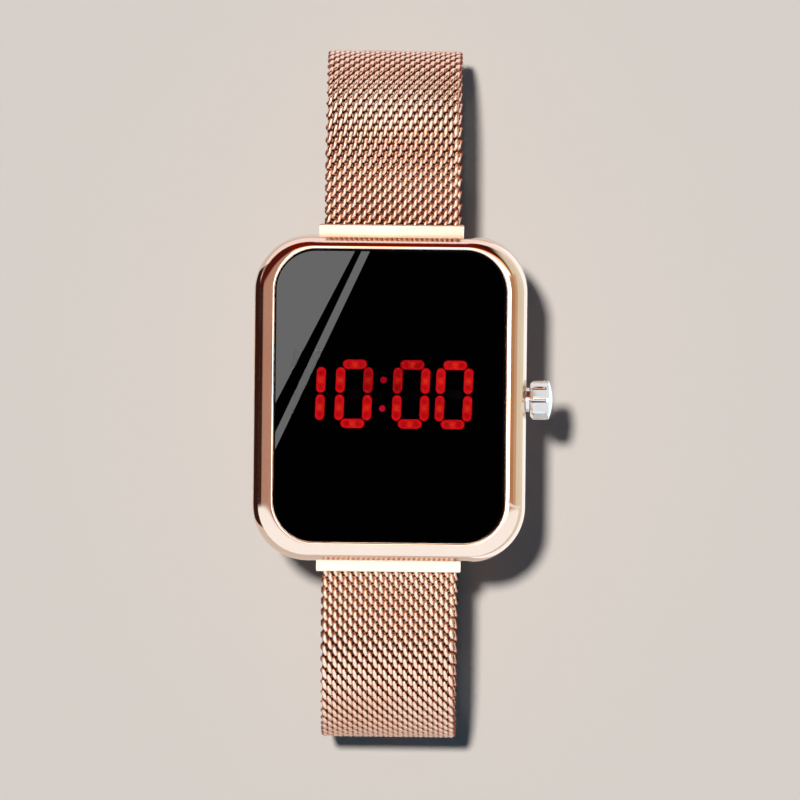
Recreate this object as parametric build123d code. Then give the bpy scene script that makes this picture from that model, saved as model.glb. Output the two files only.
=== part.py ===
from build123d import *
import math
import os

# A digital wristwatch with a red light display, on a woven metal strap.
# It lies closed on a table with its display up.
# Millimetres. +X points to the crown, +Y to the 12 o'clock strap, +Z up.
# The origin is on the table, under the middle of the case.

# Case
case_width = 37.8
case_length = 45.0
case_corner = 7.7
case_height = 9.5
back_round = 1.0
rim_height = 2.8
rim_land = 0.15
rim_sections = 7
end_wall = 1.3
cavity_corner = 7.0

# Glass and its seat
glass_width = 32.0
glass_length = 40.6
glass_corner = 5.7
glass_thickness = 1.6
glass_bevel = 0.25
glass_recess = 0.1
glass_gap = 0.1
glass_rise = 0.45
ledge_width = 0.5
lens_gasket_thickness = 0.15
lens_gasket_width = 0.4

# Display stack, from the glass down
filter_gap = 0.15
filter_thickness = 0.3
mask_thickness = 0.9
board_thickness = 0.6
module_gap = 0.1
board_gap = 0.3

# Light bars of the digits, placed from the middle of the glass
bar_width = 1.35
bar_length = 3.55
cap_bar_length = 3.3
middle_bar_length = 2.4
bar_slot_gap = 0.03
digit_half_width = 1.92
digit_half_height = 4.1
bar_offset = 1.9
digit_rise = 0.2
digit_lean = 2.0
hour_tens_x = -9.6
hour_units_x = -5.0
colon_x = -0.95
minute_tens_x = 2.95
minute_units_x = 8.9
colon_dot = 1.0
colon_offset = 1.98

# Parts on the circuit board
switch_height = 1.7
switch_length = 3.1
switch_width = 4.5
switch_x = 9.2
plunger_width = 1.2
plunger_height = 0.8
plunger_length = 1.1
plunger_gap = 0.05
chip_size = 6.0
chip_height = 1.1
chip_x = -5.0
chip_y = 11.4
leg_length = 0.8
leg_width = 0.35
leg_thickness = 0.2
leg_count = 6
crystal_diameter = 1.9
crystal_length = 6.0
crystal_x = 4.6
crystal_y = 9.0
chip_part_length = 1.6
chip_part_width = 0.8
chip_part_height = 0.5
chip_part_count = 4
chip_part_pitch = 1.9
chip_part_x = 4.6
chip_part_y = 12.9
bay_width = 21.0
bay_low_y = 6.6
bay_high_y = 16.0
bay_depth = 2.2
board_screw_x = 12.4
board_screw_y = 13.5
board_screw_diameter = 1.0
board_screw_length = 2.4
board_head_diameter = 1.7
board_head_height = 0.5

# Battery and its contacts
battery_diameter = 20.0
battery_thickness = 2.5
battery_cap_inset = 1.3
battery_cap_height = 0.5
battery_gap = 0.15
battery_y = -5.0
contact_width = 3.0
contact_thickness = 0.2
contact_foot = 3.0
contact_pad = 4.0
contact_foot_y = 1.0
clip_width = 4.0
clip_gap = 0.05
clip_clearance = 0.15

# Back cover
cover_thickness = 1.0
cover_lap_x = 1.1
cover_lap_y = 0.6
cover_corner = 3.0
cover_gap = 0.05
cover_edge = 0.2
rear_gasket_thickness = 0.2
rear_gasket_width = 0.4
cover_screw_inset_x = 2.4
cover_screw_inset_y = 1.7
cover_screw_diameter = 1.1
cover_screw_length = 2.4
cover_head_diameter = 2.0
cover_head_height = 0.5
screw_gap = 0.03
screw_slot_width = 0.3
screw_slot_depth = 0.22

# Crown, its stem and its tube
crown_diameter = 5.4
crown_length = 2.6
crown_dome = 0.48
crown_chamfer = 0.4
crown_travel = 0.5
crown_grooves = 9
groove_diameter = 0.5
groove_depth = 0.32
crown_recess_depth = 1.3
crown_recess_gap = 0.2
crown_socket_depth = 0.85
stem_diameter = 1.5
stem_gap = 0.05
pilot_diameter = 1.0
pilot_length = 0.9
pad_diameter = 1.6
pad_floor = 0.45
tube_diameter = 2.6
flange_diameter = 3.5
flange_length = 0.45
seal_diameter = 2.4
seal_depth = 0.5
seal_wire = 0.36
stem_clip_diameter = 2.6
stem_clip_thickness = 0.25
stem_clip_mouth = 0.8
stem_clip_gap = 0.05
channel_gap = 0.2
spring_wire = 0.24
spring_turns = 2.5

# Spring bars and the strap's end pieces
lug_width = 20.0
lug_gap = 0.1
spring_bar_y = 20.8
spring_bar_above_back = 4.0
spring_bar_diameter = 1.5
spring_bar_wall = 0.25
spring_bar_gap = 0.05
spring_bar_end_gap = 0.4
tip_diameter = 0.8
tip_gap = 0.05
tip_reach = 0.9
tip_inner = 6.0
bar_coil_radius = 0.3
bar_coil_wire = 0.18
bar_coil_pitch = 1.0
end_piece_y = 24.1
end_piece_thickness = 2.2
end_tube_diameter = 2.3
end_pocket_depth = 1.2
end_piece_edge = 0.2
notch_gap = 0.35
notch_headroom = 2.3
pocket_gap = 0.03

# Woven strap, as a band with one rib for each turn of its wire
strap_width = 18.2
strap_thickness = 1.2
rib_count = 13
rib_depth = 0.35
rib_crest = 0.7
arch_radius = 13.5
arch_start = 33.9
bend_gap = 0.1
flap_bend_gap = 0.4

# Clasp
clasp_gap = 0.15
ring_bar_diameter = 1.2
ring_bar_y = 8.0
ring_side_gap = 0.3
ring_side_width = 1.2
ring_window = 3.2
sleeve_length = 5.0
sleeve_wall = 0.4
sleeve_pocket_depth = 3.8
sleeve_edge = 0.3
flap_end_y = -22.0
tip_plate_length = 5.5
tip_plate_side = 0.5
tip_plate_corner = 1.0
tip_plate_gap = 0.1
tongue_length = 4.0
tongue_thickness = 0.7
tongue_side = 0.4
magnet_length = 3.5
magnet_width = 17.0
magnet_thickness = 1.1
magnet_inset = 1.0

overrun = 1.0

# Heights, from the table up
flap_z = strap_thickness / 2
ring_bar_z = strap_thickness + clasp_gap + ring_bar_diameter / 2
run_z = strap_thickness + 2 * clasp_gap + ring_bar_diameter + strap_thickness / 2
outer_bend_z = run_z + arch_radius
outer_bend_y = arch_start + arch_radius
spring_bar_z = run_z + 2 * arch_radius
back_z = spring_bar_z - spring_bar_above_back
top_z = back_z + case_height
shoulder_z = top_z - rim_height
glass_top = top_z - glass_recess
glass_bottom = glass_top - glass_thickness
ledge_z = glass_bottom - lens_gasket_thickness
filter_top = ledge_z - filter_gap
mask_top = filter_top - filter_thickness
board_top = mask_top - mask_thickness
board_bottom = board_top - board_thickness
crown_z = board_bottom - switch_height / 2
cover_top = back_z + cover_thickness
recess_top = cover_top + rear_gasket_thickness
battery_top = cover_top + battery_thickness
notch_top = spring_bar_z + notch_headroom

# Widths and places that follow
notch_y = spring_bar_y - end_tube_diameter / 2 - notch_gap
cavity_length = 2 * (notch_y - end_wall)
cavity_width = glass_width - 2 * ledge_width
module_width = cavity_width - 2 * module_gap
module_length = cavity_length - 2 * module_gap
module_corner = cavity_corner - module_gap
board_width = cavity_width - 2 * board_gap
board_length = cavity_length - 2 * board_gap
cover_width = cavity_width + 2 * cover_lap_x
cover_length = cavity_length + 2 * cover_lap_y
cover_screw_x = cover_width / 2 - cover_screw_inset_x
cover_screw_y = cover_length / 2 - cover_screw_inset_y
digit_y = glass_rise + digit_rise
side_bar_turn = 90 - digit_lean
wall_inside_x = cavity_width / 2
wall_outside_x = case_width / 2
flange_x = wall_outside_x + flange_length
crown_x = wall_outside_x + crown_travel + stem_gap
recess_floor_x = crown_x + crown_recess_depth
clip_x = wall_inside_x - stem_clip_gap - stem_clip_thickness
pad_x = switch_x + switch_length + crown_travel + plunger_gap
pilot_x = pad_x + pad_floor + stem_gap
shoulder_x = pilot_x + pilot_length
notch_half = lug_width / 2 + lug_gap
ring_half = strap_width / 2 + ring_side_gap + ring_side_width
window_end = ring_bar_y + ring_window
sleeve_end = window_end + sleeve_length
bar_bore = spring_bar_diameter - 2 * spring_bar_wall


def block(x_span, y_span, z_span):
    """A box between pairs of limits."""
    middles = [(low + high) / 2 for low, high in (x_span, y_span, z_span)]
    sides = [high - low for low, high in (x_span, y_span, z_span)]
    return Pos(*middles) * Box(*sides)


def plate(width, length, corner, z_span, middle_y=0):
    """A rounded rectangle raised between two heights."""
    outline = Pos(0, middle_y, z_span[0]) * RectangleRounded(width, length, corner)
    return extrude(outline, z_span[1] - z_span[0])


def rod_x(diameter, x_span, y, z):
    """A cylinder along X."""
    middle = (x_span[0] + x_span[1]) / 2
    return Pos(middle, y, z) * Cylinder(diameter / 2, x_span[1] - x_span[0], rotation=(0, 90, 0))


def rod_z(diameter, z_span, x, y):
    """An upright cylinder."""
    middle = (z_span[0] + z_span[1]) / 2
    return Pos(x, y, middle) * Cylinder(diameter / 2, z_span[1] - z_span[0])


def twelve_and_six(piece):
    """The 12 o'clock piece and its mirror image at 6 o'clock."""
    return piece, mirror(piece, about=Plane.XZ)


def corners(x, y):
    """The four places at plus and minus x and y."""
    return [(side_x * x, side_y * y) for side_x in (-1, 1) for side_y in (-1, 1)]


# Case, glass and back


def rim_section(turn):
    """One outline of the rim, from its shoulder at 0 degrees to its top at 90."""
    out_share = math.cos(math.radians(turn))
    up_share = math.sin(math.radians(turn))
    inner_width = glass_width + 2 * (glass_gap + rim_land)
    inner_length = glass_length + 2 * (glass_gap + rim_land)
    inner_corner = glass_corner + glass_gap + rim_land
    width = inner_width + (case_width - inner_width) * out_share
    length = inner_length + (case_length - inner_length) * out_share
    corner = inner_corner + (case_corner - inner_corner) * out_share
    place = Pos(0, glass_rise * (1 - out_share), shoulder_z + rim_height * up_share)
    return place * RectangleRounded(width, length, corner)


def case_outside():
    """The case's outer shape: an upright wall under a rounded rim."""
    wall = plate(case_width, case_length, case_corner, (back_z, shoulder_z))
    wall = fillet(wall.faces().sort_by(Axis.Z)[0].edges(), back_round)
    turns = [90 * step / (rim_sections - 1) for step in range(rim_sections)]
    return wall + loft([rim_section(turn) for turn in turns], ruled=True)


def lug_cuts():
    """The two end notches and the holes for the spring bars' tips."""
    cuts = []
    for side in (-1, 1):
        y_span = sorted((side * notch_y, side * (case_length / 2 + overrun)))
        cuts.append(block((-notch_half, notch_half), y_span, (back_z - overrun, notch_top)))
        reach = notch_half + tip_reach + tip_gap
        hole = tip_diameter + 2 * tip_gap
        cuts.append(rod_x(hole, (-reach, reach), side * spring_bar_y, spring_bar_z))
    return cuts


def make_case_body():
    """The one-piece case: rim, glass seat, module cavity, cover recess, hooded lugs."""
    pocket = plate(
        glass_width + 2 * glass_gap,
        glass_length + 2 * glass_gap,
        glass_corner + glass_gap,
        (ledge_z, top_z + overrun),
        glass_rise,
    )
    cavity = plate(cavity_width, cavity_length, cavity_corner, (back_z - overrun, top_z))
    recess = plate(
        cover_width + 2 * cover_gap,
        cover_length + 2 * cover_gap,
        cover_corner + cover_gap,
        (back_z - overrun, recess_top),
    )
    tube_hole = rod_x(tube_diameter, (0, case_width), 0, crown_z)
    body = case_outside() - pocket - cavity - recess - tube_hole
    for cut in lug_cuts():
        body -= cut
    hole_top = back_z + cover_screw_length + cover_head_height
    for x, y in corners(cover_screw_x, cover_screw_y):
        body -= rod_z(cover_screw_diameter + 2 * screw_gap, (back_z, hole_top), x, y)
    return body


def make_lens():
    """The flat glass with a polished bevel round its top."""
    lens = plate(glass_width, glass_length, glass_corner, (glass_bottom, glass_top), glass_rise)
    return chamfer(lens.faces().sort_by(Axis.Z)[-1].edges(), glass_bevel)


def make_lens_gasket():
    """The adhesive ring that the glass sits on."""
    z_span = (ledge_z, glass_bottom)
    outer = plate(glass_width, glass_length, glass_corner, z_span, glass_rise)
    inner = plate(
        glass_width - 2 * lens_gasket_width,
        glass_length - 2 * lens_gasket_width,
        glass_corner - lens_gasket_width,
        z_span,
        glass_rise,
    )
    return outer - inner


def make_rear_cover():
    """The back plate, with four counterbored screw holes."""
    cover = plate(cover_width, cover_length, cover_corner, (back_z, cover_top))
    cover = chamfer(cover.faces().sort_by(Axis.Z)[0].edges(), cover_edge)
    for x, y in corners(cover_screw_x, cover_screw_y):
        cover -= rod_z(cover_screw_diameter + 2 * screw_gap, (back_z, cover_top), x, y)
        head_top = back_z + cover_head_height
        cover -= rod_z(cover_head_diameter + 2 * screw_gap, (back_z, head_top), x, y)
    return cover


def make_rear_gasket():
    """The flat seal between the cover and the case."""
    z_span = (cover_top, recess_top)
    inner_grow = 2 * cover_gap
    outer_grow = inner_grow + 2 * rear_gasket_width
    rings = [
        plate(cavity_width + grow, cavity_length + grow, cavity_corner + grow / 2, z_span)
        for grow in (inner_grow, outer_grow)
    ]
    return rings[1] - rings[0]


def make_rear_screws():
    """Four slotted screws, flush with the back."""
    screws = []
    for x, y in corners(cover_screw_x, cover_screw_y):
        head_top = back_z + cover_head_height
        screw = rod_z(cover_head_diameter, (back_z, head_top), x, y)
        screw += rod_z(cover_screw_diameter, (head_top, head_top + cover_screw_length), x, y)
        half_slot = screw_slot_width / 2
        slot_x = (x - cover_head_diameter, x + cover_head_diameter)
        screw -= block(slot_x, (y - half_slot, y + half_slot), (back_z, back_z + screw_slot_depth))
        screws.append(screw)
    return Compound(screws)


# Display


def bar_place(middle_x, x, y):
    """Where a light bar stands: its digit's middle, its offset and the lean."""
    lean_x = math.tan(math.radians(digit_lean)) * y
    return middle_x + x + lean_x, digit_y + y


def bar_outline(middle_x, x, y, length, turn, grow=0):
    """One light bar's rounded outline, turned from lying along X."""
    place_x, place_y = bar_place(middle_x, x, y)
    slot = SlotOverall(length + 2 * grow, bar_width + 2 * grow)
    return Pos(place_x, place_y, 0) * Rot(0, 0, turn) * slot


def zero_bars(middle_x, grow=0):
    """The six bars of a 0."""
    outlines = []
    for y in (-digit_half_height, digit_half_height):
        outlines.append(bar_outline(middle_x, 0, y, cap_bar_length, 0, grow))
    for x, y in corners(digit_half_width, bar_offset):
        outlines.append(bar_outline(middle_x, x, y, bar_length, side_bar_turn, grow))
    return outlines


def one_bars(grow=0):
    """The two bars of the 1."""
    outlines = []
    for y in (-bar_offset, bar_offset):
        outlines.append(bar_outline(hour_tens_x, 0, y, bar_length, side_bar_turn, grow))
    return outlines


def middle_bars(grow=0):
    """The bars in the middle of the three full digits, not lit in a 0."""
    middles = (hour_units_x, minute_tens_x, minute_units_x)
    return [bar_outline(middle_x, 0, 0, middle_bar_length, 0, grow) for middle_x in middles]


def colon_dots(grow=0):
    """The two round lights between hours and minutes."""
    dots = []
    for y in (-colon_offset, colon_offset):
        place_x, place_y = bar_place(colon_x, 0, y)
        dots.append(Pos(place_x, place_y, 0) * Circle(colon_dot / 2 + grow))
    return dots


def raised(outlines):
    """Outlines raised from the board to the top of the mask."""
    return [extrude(Pos(0, 0, board_top) * outline, mask_thickness) for outline in outlines]


def make_display_mask():
    """The black plate that holds the light bars, clear of the board's screw heads."""
    mask = plate(module_width, module_length, module_corner, (board_top, mask_top))
    outlines = one_bars(bar_slot_gap) + middle_bars(bar_slot_gap) + colon_dots(bar_slot_gap)
    for middle_x in (hour_units_x, minute_tens_x, minute_units_x):
        outlines += zero_bars(middle_x, bar_slot_gap)
    for slot in raised(outlines):
        mask -= slot
    for x, y in corners(board_screw_x, board_screw_y):
        mask -= rod_z(board_head_diameter + 2 * module_gap, (board_top, mask_top), x, y)
    return mask


def make_display_filter():
    """The dark sheet over the lights."""
    return plate(module_width, module_length, module_corner, (mask_top, filter_top))


def make_led_board():
    """The circuit board, notched for the stem's clip and drilled for its screws."""
    board = plate(board_width, board_length, module_corner, (board_bottom, board_top))
    reach = stem_clip_diameter / 2 + channel_gap
    notch_x = clip_x - crown_travel - channel_gap
    board -= block((notch_x, case_width), (-reach, reach), (board_bottom, board_top))
    for x, y in corners(board_screw_x, board_screw_y):
        board -= rod_z(board_screw_diameter + 2 * screw_gap, (board_bottom, board_top), x, y)
    return board


def make_board_screws():
    """Four screws that hold the board to the module frame."""
    screws = []
    for x, y in corners(board_screw_x, board_screw_y):
        screw = rod_z(board_screw_diameter, (board_top - board_screw_length, board_top), x, y)
        head_top = board_top + board_head_height
        screw += rod_z(board_head_diameter, (board_top, head_top), x, y)
        half_slot = screw_slot_width / 2
        slot_x = (x - board_head_diameter, x + board_head_diameter)
        slot_z = (head_top - screw_slot_depth, head_top)
        screw -= block(slot_x, (y - half_slot, y + half_slot), slot_z)
        screws.append(screw)
    return Compound(screws)


# Module


def make_controller_chip():
    """The controller: a flat package with a row of legs on two sides."""
    half = chip_size / 2
    body_z = (board_bottom - chip_height, board_bottom - leg_thickness)
    chip = block((chip_x - half, chip_x + half), (chip_y - half, chip_y + half), body_z)
    pitch = chip_size / leg_count
    for row in range(leg_count):
        leg_y = chip_y - half + pitch * row + pitch / 2
        y_span = (leg_y - leg_width / 2, leg_y + leg_width / 2)
        reach = half + leg_length
        leg_z = (board_bottom - 2 * leg_thickness, board_bottom)
        chip += block((chip_x - reach, chip_x + reach), y_span, leg_z)
    return chip


def make_crystal_can():
    """The timing crystal, a small can lying on the board."""
    half = crystal_length / 2
    z = board_bottom - crystal_diameter / 2
    return rod_x(crystal_diameter, (crystal_x - half, crystal_x + half), crystal_y, z)


def make_board_resistors():
    """A row of small chip parts on the board."""
    parts = []
    for index in range(chip_part_count):
        middle = chip_part_x + chip_part_pitch * (index - (chip_part_count - 1) / 2)
        x_span = (middle - chip_part_width / 2, middle + chip_part_width / 2)
        y_span = (chip_part_y - chip_part_length / 2, chip_part_y + chip_part_length / 2)
        parts.append(block(x_span, y_span, (board_bottom - chip_part_height, board_bottom)))
    return Compound(parts)


def make_switch_body():
    """The side-pressed switch under the board."""
    x_span = (switch_x, switch_x + switch_length)
    y_span = (-switch_width / 2, switch_width / 2)
    body = block(x_span, y_span, (board_bottom - switch_height, board_bottom))
    pocket_x = x_span[1] - plunger_length - plunger_gap
    half_y = plunger_width / 2 + plunger_gap
    half_z = plunger_height / 2 + plunger_gap
    pocket_z = (crown_z - half_z, crown_z + half_z)
    return body - block((pocket_x, x_span[1] + overrun), (-half_y, half_y), pocket_z)


def make_switch_plunger():
    """The switch's plunger, standing out by its travel."""
    end = switch_x + switch_length + crown_travel
    z_span = (crown_z - plunger_height / 2, crown_z + plunger_height / 2)
    return block((end - plunger_length, end), (-plunger_width / 2, plunger_width / 2), z_span)


def module_bays():
    """The hollows under the board: parts bay, switch bay, stem channel, contact well."""
    switch_end = switch_x + switch_length + channel_gap
    switch_half = switch_width / 2 + module_gap
    switch_floor = board_bottom - switch_height - module_gap
    channel_half = stem_clip_diameter / 2 + channel_gap
    contact_half = contact_width / 2 + clip_clearance
    contact_y = (
        contact_foot_y - contact_foot - contact_pad - clip_clearance,
        contact_foot_y + clip_clearance,
    )
    top = board_bottom + overrun
    return [
        block((-bay_width / 2, bay_width / 2), (bay_low_y, bay_high_y), (board_bottom - bay_depth, top)),
        block((switch_x - channel_gap, switch_end), (-switch_half, switch_half), (switch_floor, top)),
        block((switch_x, case_width), (-channel_half, channel_half), (crown_z - channel_half, top)),
        block((-contact_half, contact_half), contact_y, (cover_top, top)),
    ]


def clip_y():
    """The inner and outer faces of the battery's side clip."""
    inner = battery_y - battery_diameter / 2 - clip_gap
    return inner - contact_thickness, inner


def make_module_frame():
    """The plastic frame that carries the board over the battery."""
    frame = plate(module_width, module_length, module_corner, (cover_top, board_bottom))
    frame -= rod_z(
        battery_diameter + 2 * battery_gap, (cover_top, battery_top + clip_gap), 0, battery_y
    )
    for bay in module_bays():
        frame -= bay
    low, high = clip_y()
    half = clip_width / 2 + clip_clearance
    frame -= block((-half, half), (low - clip_clearance, high + overrun), (cover_top, board_bottom))
    hole_low = board_top - board_screw_length - screw_gap
    for x, y in corners(board_screw_x, board_screw_y):
        frame -= rod_z(board_screw_diameter + 2 * screw_gap, (hole_low, board_bottom), x, y)
    return frame


def make_battery():
    """The coin cell: a wide can with a narrower cap."""
    can_top = battery_top - battery_cap_height
    cell = rod_z(battery_diameter, (cover_top, can_top), 0, battery_y)
    cell = chamfer(cell.faces().sort_by(Axis.Z)[0].edges(), battery_cap_height / 2)
    cap_diameter = battery_diameter - 2 * battery_cap_inset
    return cell + rod_z(cap_diameter, (can_top, battery_top), 0, battery_y)


def make_battery_contact():
    """The spring leaf from the board down to the cell's cap."""
    x_span = (-contact_width / 2, contact_width / 2)
    leg_y = contact_foot_y - contact_foot
    foot_z = (board_bottom - contact_thickness, board_bottom)
    pad_z = (battery_top, battery_top + contact_thickness)
    leaf = block(x_span, (leg_y, contact_foot_y), foot_z)
    leaf += block(x_span, (leg_y, leg_y + contact_thickness), (battery_top, board_bottom))
    return leaf + block(x_span, (leg_y - contact_pad, leg_y + contact_thickness), pad_z)


def make_battery_clip():
    """The upright strip that touches the side of the cell."""
    z_span = (cover_top + battery_cap_height, board_bottom)
    return block((-clip_width / 2, clip_width / 2), clip_y(), z_span)


# Crown


def make_crown_tube():
    """The lined tube pressed into the case wall, with a flange and a seal seat."""
    tube = rod_x(tube_diameter, (wall_inside_x, flange_x), 0, crown_z)
    tube += rod_x(flange_diameter, (wall_outside_x, flange_x), 0, crown_z)
    tube -= rod_x(stem_diameter + 2 * stem_gap, (wall_inside_x, flange_x), 0, crown_z)
    return tube - rod_x(seal_diameter, (flange_x - seal_depth, flange_x), 0, crown_z)


def make_crown_gasket():
    """The ring seal in the mouth of the tube."""
    ring_radius = stem_diameter / 2 + stem_gap + seal_wire / 2
    place = Pos(flange_x - seal_depth / 2, 0, crown_z) * Rot(0, 90, 0)
    return place * Torus(ring_radius, seal_wire / 2)


def make_crown():
    """The fluted push crown: chamfered inside, domed outside, recessed for the tube."""
    side_end = crown_x + crown_length
    radius = crown_diameter / 2
    dome_radius = (radius**2 + crown_dome**2) / (2 * crown_dome)
    dome_turn = math.degrees(math.asin(radius / dome_radius))
    dome_end = side_end + crown_dome
    outline = [
        Line((crown_x, 0), (crown_x, radius - crown_chamfer)),
        Line((crown_x, radius - crown_chamfer), (crown_x + crown_chamfer, radius)),
        Line((crown_x + crown_chamfer, radius), (side_end, radius)),
        CenterArc((dome_end - dome_radius, 0), dome_radius, 0, dome_turn),
        Line((dome_end, 0), (crown_x, 0)),
    ]
    crown = Pos(0, 0, crown_z) * revolve(make_face(outline), Axis.X)
    groove_ring = radius + groove_diameter / 2 - groove_depth
    for index in range(crown_grooves):
        turn = math.radians(90 + 360 * index / crown_grooves)
        y = groove_ring * math.cos(turn)
        z = crown_z + groove_ring * math.sin(turn)
        crown -= rod_x(groove_diameter, (crown_x - overrun, side_end - groove_depth), y, z)
    recess = flange_diameter + 2 * crown_recess_gap
    crown -= rod_x(recess, (crown_x, recess_floor_x), 0, crown_z)
    return crown - rod_x(stem_diameter, (crown_x, recess_floor_x + crown_socket_depth), 0, crown_z)


def make_crown_stem():
    """The stem: socket end, clip groove and a thin pilot."""
    stem_end = recess_floor_x + crown_socket_depth
    stem = rod_x(stem_diameter, (shoulder_x, stem_end), 0, crown_z)
    clip_span = (clip_x, clip_x + stem_clip_thickness)
    stem -= rod_x(2 * stem_diameter, clip_span, 0, crown_z)
    stem += rod_x(pilot_diameter, clip_span, 0, crown_z)
    return stem + rod_x(pilot_diameter, (pilot_x, shoulder_x), 0, crown_z)


def make_stem_clip():
    """The open clip that keeps the stem in the tube."""
    span = (clip_x, clip_x + stem_clip_thickness)
    clip = rod_x(stem_clip_diameter, span, 0, crown_z) - rod_x(pilot_diameter, span, 0, crown_z)
    half_mouth = stem_clip_mouth / 2
    below = (crown_z - stem_clip_diameter, crown_z)
    return clip - block(span, (-half_mouth, half_mouth), below)


def make_stem_pad():
    """The plastic cup between the turning stem and the switch."""
    cup_end = shoulder_x - stem_gap
    pad = rod_x(pad_diameter, (pad_x, cup_end), 0, crown_z)
    bore = pilot_diameter + 2 * stem_gap
    return pad - rod_x(bore, (pad_x + pad_floor, cup_end), 0, crown_z)


def coil_x(radius, wire, pitch, x_span, y, z):
    """A round spring along X, between two limits."""
    low = x_span[0] + wire / 2
    height = x_span[1] - x_span[0] - wire
    path = Pos(low, y, z) * Rot(0, 90, 0) * Helix(pitch, height, radius)
    start = Plane(path @ 0, z_dir=path % 0)
    return sweep(start * Circle(wire / 2), path, is_frenet=True)


def make_crown_spring():
    """The return spring between the tube's flange and the crown's recess."""
    radius = (seal_diameter + flange_diameter) / 4
    span = (flange_x, recess_floor_x)
    pitch = (span[1] - span[0] - spring_wire) / spring_turns
    return coil_x(radius, spring_wire, pitch, span, 0, crown_z)


# Spring bars and end pieces


def make_spring_bar_tube():
    """The hollow barrel of a spring bar."""
    half = lug_width / 2 - spring_bar_end_gap
    barrel = rod_x(spring_bar_diameter, (-half, half), spring_bar_y, spring_bar_z)
    return barrel - rod_x(bar_bore, (-half, half), spring_bar_y, spring_bar_z)


def make_spring_bar_tips():
    """The two sprung tips, which stand in the lug holes."""
    tips = []
    for side in (-1, 1):
        span = sorted((side * tip_inner, side * (notch_half + tip_reach)))
        tips.append(rod_x(tip_diameter, span, spring_bar_y, spring_bar_z))
    return Compound(tips)


def make_spring_bar_coil():
    """The spring between the tips."""
    span = (-tip_inner, tip_inner)
    return coil_x(bar_coil_radius, bar_coil_wire, bar_coil_pitch, span, spring_bar_y, spring_bar_z)


def make_end_piece():
    """The strap's metal end: a tube on the spring bar and a plate that grips the weave."""
    span = (-lug_width / 2, lug_width / 2)
    half = end_piece_thickness / 2
    z_span = (spring_bar_z - half, spring_bar_z + half)
    body = block(span, (spring_bar_y, end_piece_y), z_span)
    body = fillet(body.faces().sort_by(Axis.Y)[-1].edges(), end_piece_edge)
    body += rod_x(end_tube_diameter, span, spring_bar_y, spring_bar_z)
    bore = spring_bar_diameter + 2 * spring_bar_gap
    body -= rod_x(bore, span, spring_bar_y, spring_bar_z)
    pocket_half = strap_width / 2 + pocket_gap
    pocket_z = strap_thickness / 2 + pocket_gap
    return body - block(
        (-pocket_half, pocket_half),
        (end_piece_y - end_pocket_depth, end_piece_y + overrun),
        (spring_bar_z - pocket_z, spring_bar_z + pocket_z),
    )


# Woven strap


def strap_section(y, z):
    """The strap cut across: its ribs on both faces, drawn upright at one place."""
    crest = strap_thickness / 2
    valley = crest - rib_depth
    pitch = strap_width / rib_count
    upper = [(-strap_width / 2, valley)]
    for index in range(rib_count):
        middle = (index + 0.5) * pitch - strap_width / 2
        upper += [(middle - rib_crest / 2, crest), (middle + rib_crest / 2, crest)]
        upper.append((middle + pitch / 2, valley))
    lower = [(x, -height) for x, height in reversed(upper)]
    outline = Polyline(*upper, *lower, close=True)
    return Pos(0, y, z) * (Plane.XZ * make_face(outline))


def strap_run(y_span, z):
    """A straight stretch of the strap."""
    return extrude(strap_section(y_span[0], z), y_span[1] - y_span[0], dir=(0, 1, 0))


def strap_bend(y, z, middle_z, turn, side):
    """A stretch of the strap that goes round an axis across it."""
    axis = Axis((0, y, middle_z), (side, 0, 0))
    return revolve(strap_section(y, z), axis, turn)


def bend_roll(y, z):
    """The round end of one strap piece, which turns in the next one's hollow."""
    return rod_x(strap_thickness, (-strap_width / 2, strap_width / 2), y, z)


def bend_socket(y, z, gap):
    """The round hollow that lets the next strap piece turn."""
    return rod_x(strap_thickness + 2 * gap, (-strap_width, strap_width), y, z)


def make_mesh_upper():
    """Strap from the end piece over the top and out to the side of the loop."""
    start_y = end_piece_y - end_pocket_depth + pocket_gap
    strap = strap_run((start_y, arch_start), spring_bar_z)
    strap += strap_bend(arch_start, spring_bar_z, outer_bend_z, 90, -1)
    return strap + bend_roll(outer_bend_y, outer_bend_z)


def make_mesh_lower():
    """Strap from the side of the loop down to the table."""
    strap = strap_bend(arch_start, run_z, outer_bend_z, 90, 1) + bend_roll(arch_start, run_z)
    return strap - bend_socket(outer_bend_y, outer_bend_z, bend_gap)


def make_mesh_12_tail():
    """The 12 o'clock strap along the bottom, into the clasp's sleeve."""
    start = sleeve_end - sleeve_pocket_depth + pocket_gap
    return strap_run((start, arch_start), run_z) - bend_socket(arch_start, run_z, bend_gap)


def make_mesh_6_tail():
    """The 6 o'clock strap along the bottom, through the ring and round its bar."""
    strap = strap_run((-arch_start, ring_bar_y), run_z)
    strap += strap_bend(ring_bar_y, run_z, ring_bar_z, 180, -1)
    strap += bend_roll(ring_bar_y, flap_z)
    return strap - bend_socket(-arch_start, run_z, bend_gap)


def make_mesh_6_flap():
    """The folded-back end of the 6 o'clock strap, crimped to a tongue at its tip."""
    plate_end = flap_end_y + tip_plate_length
    half = strap_width / 2
    flap = block((-half, half), (plate_end, ring_bar_y), (0, strap_thickness))
    flap -= bend_socket(ring_bar_y, flap_z, flap_bend_gap)
    half_tongue = half - tongue_side
    z_span = (flap_z - tongue_thickness / 2, flap_z + tongue_thickness / 2)
    return flap + block((-half_tongue, half_tongue), (plate_end - tongue_length, plate_end), z_span)


# Clasp


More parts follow.
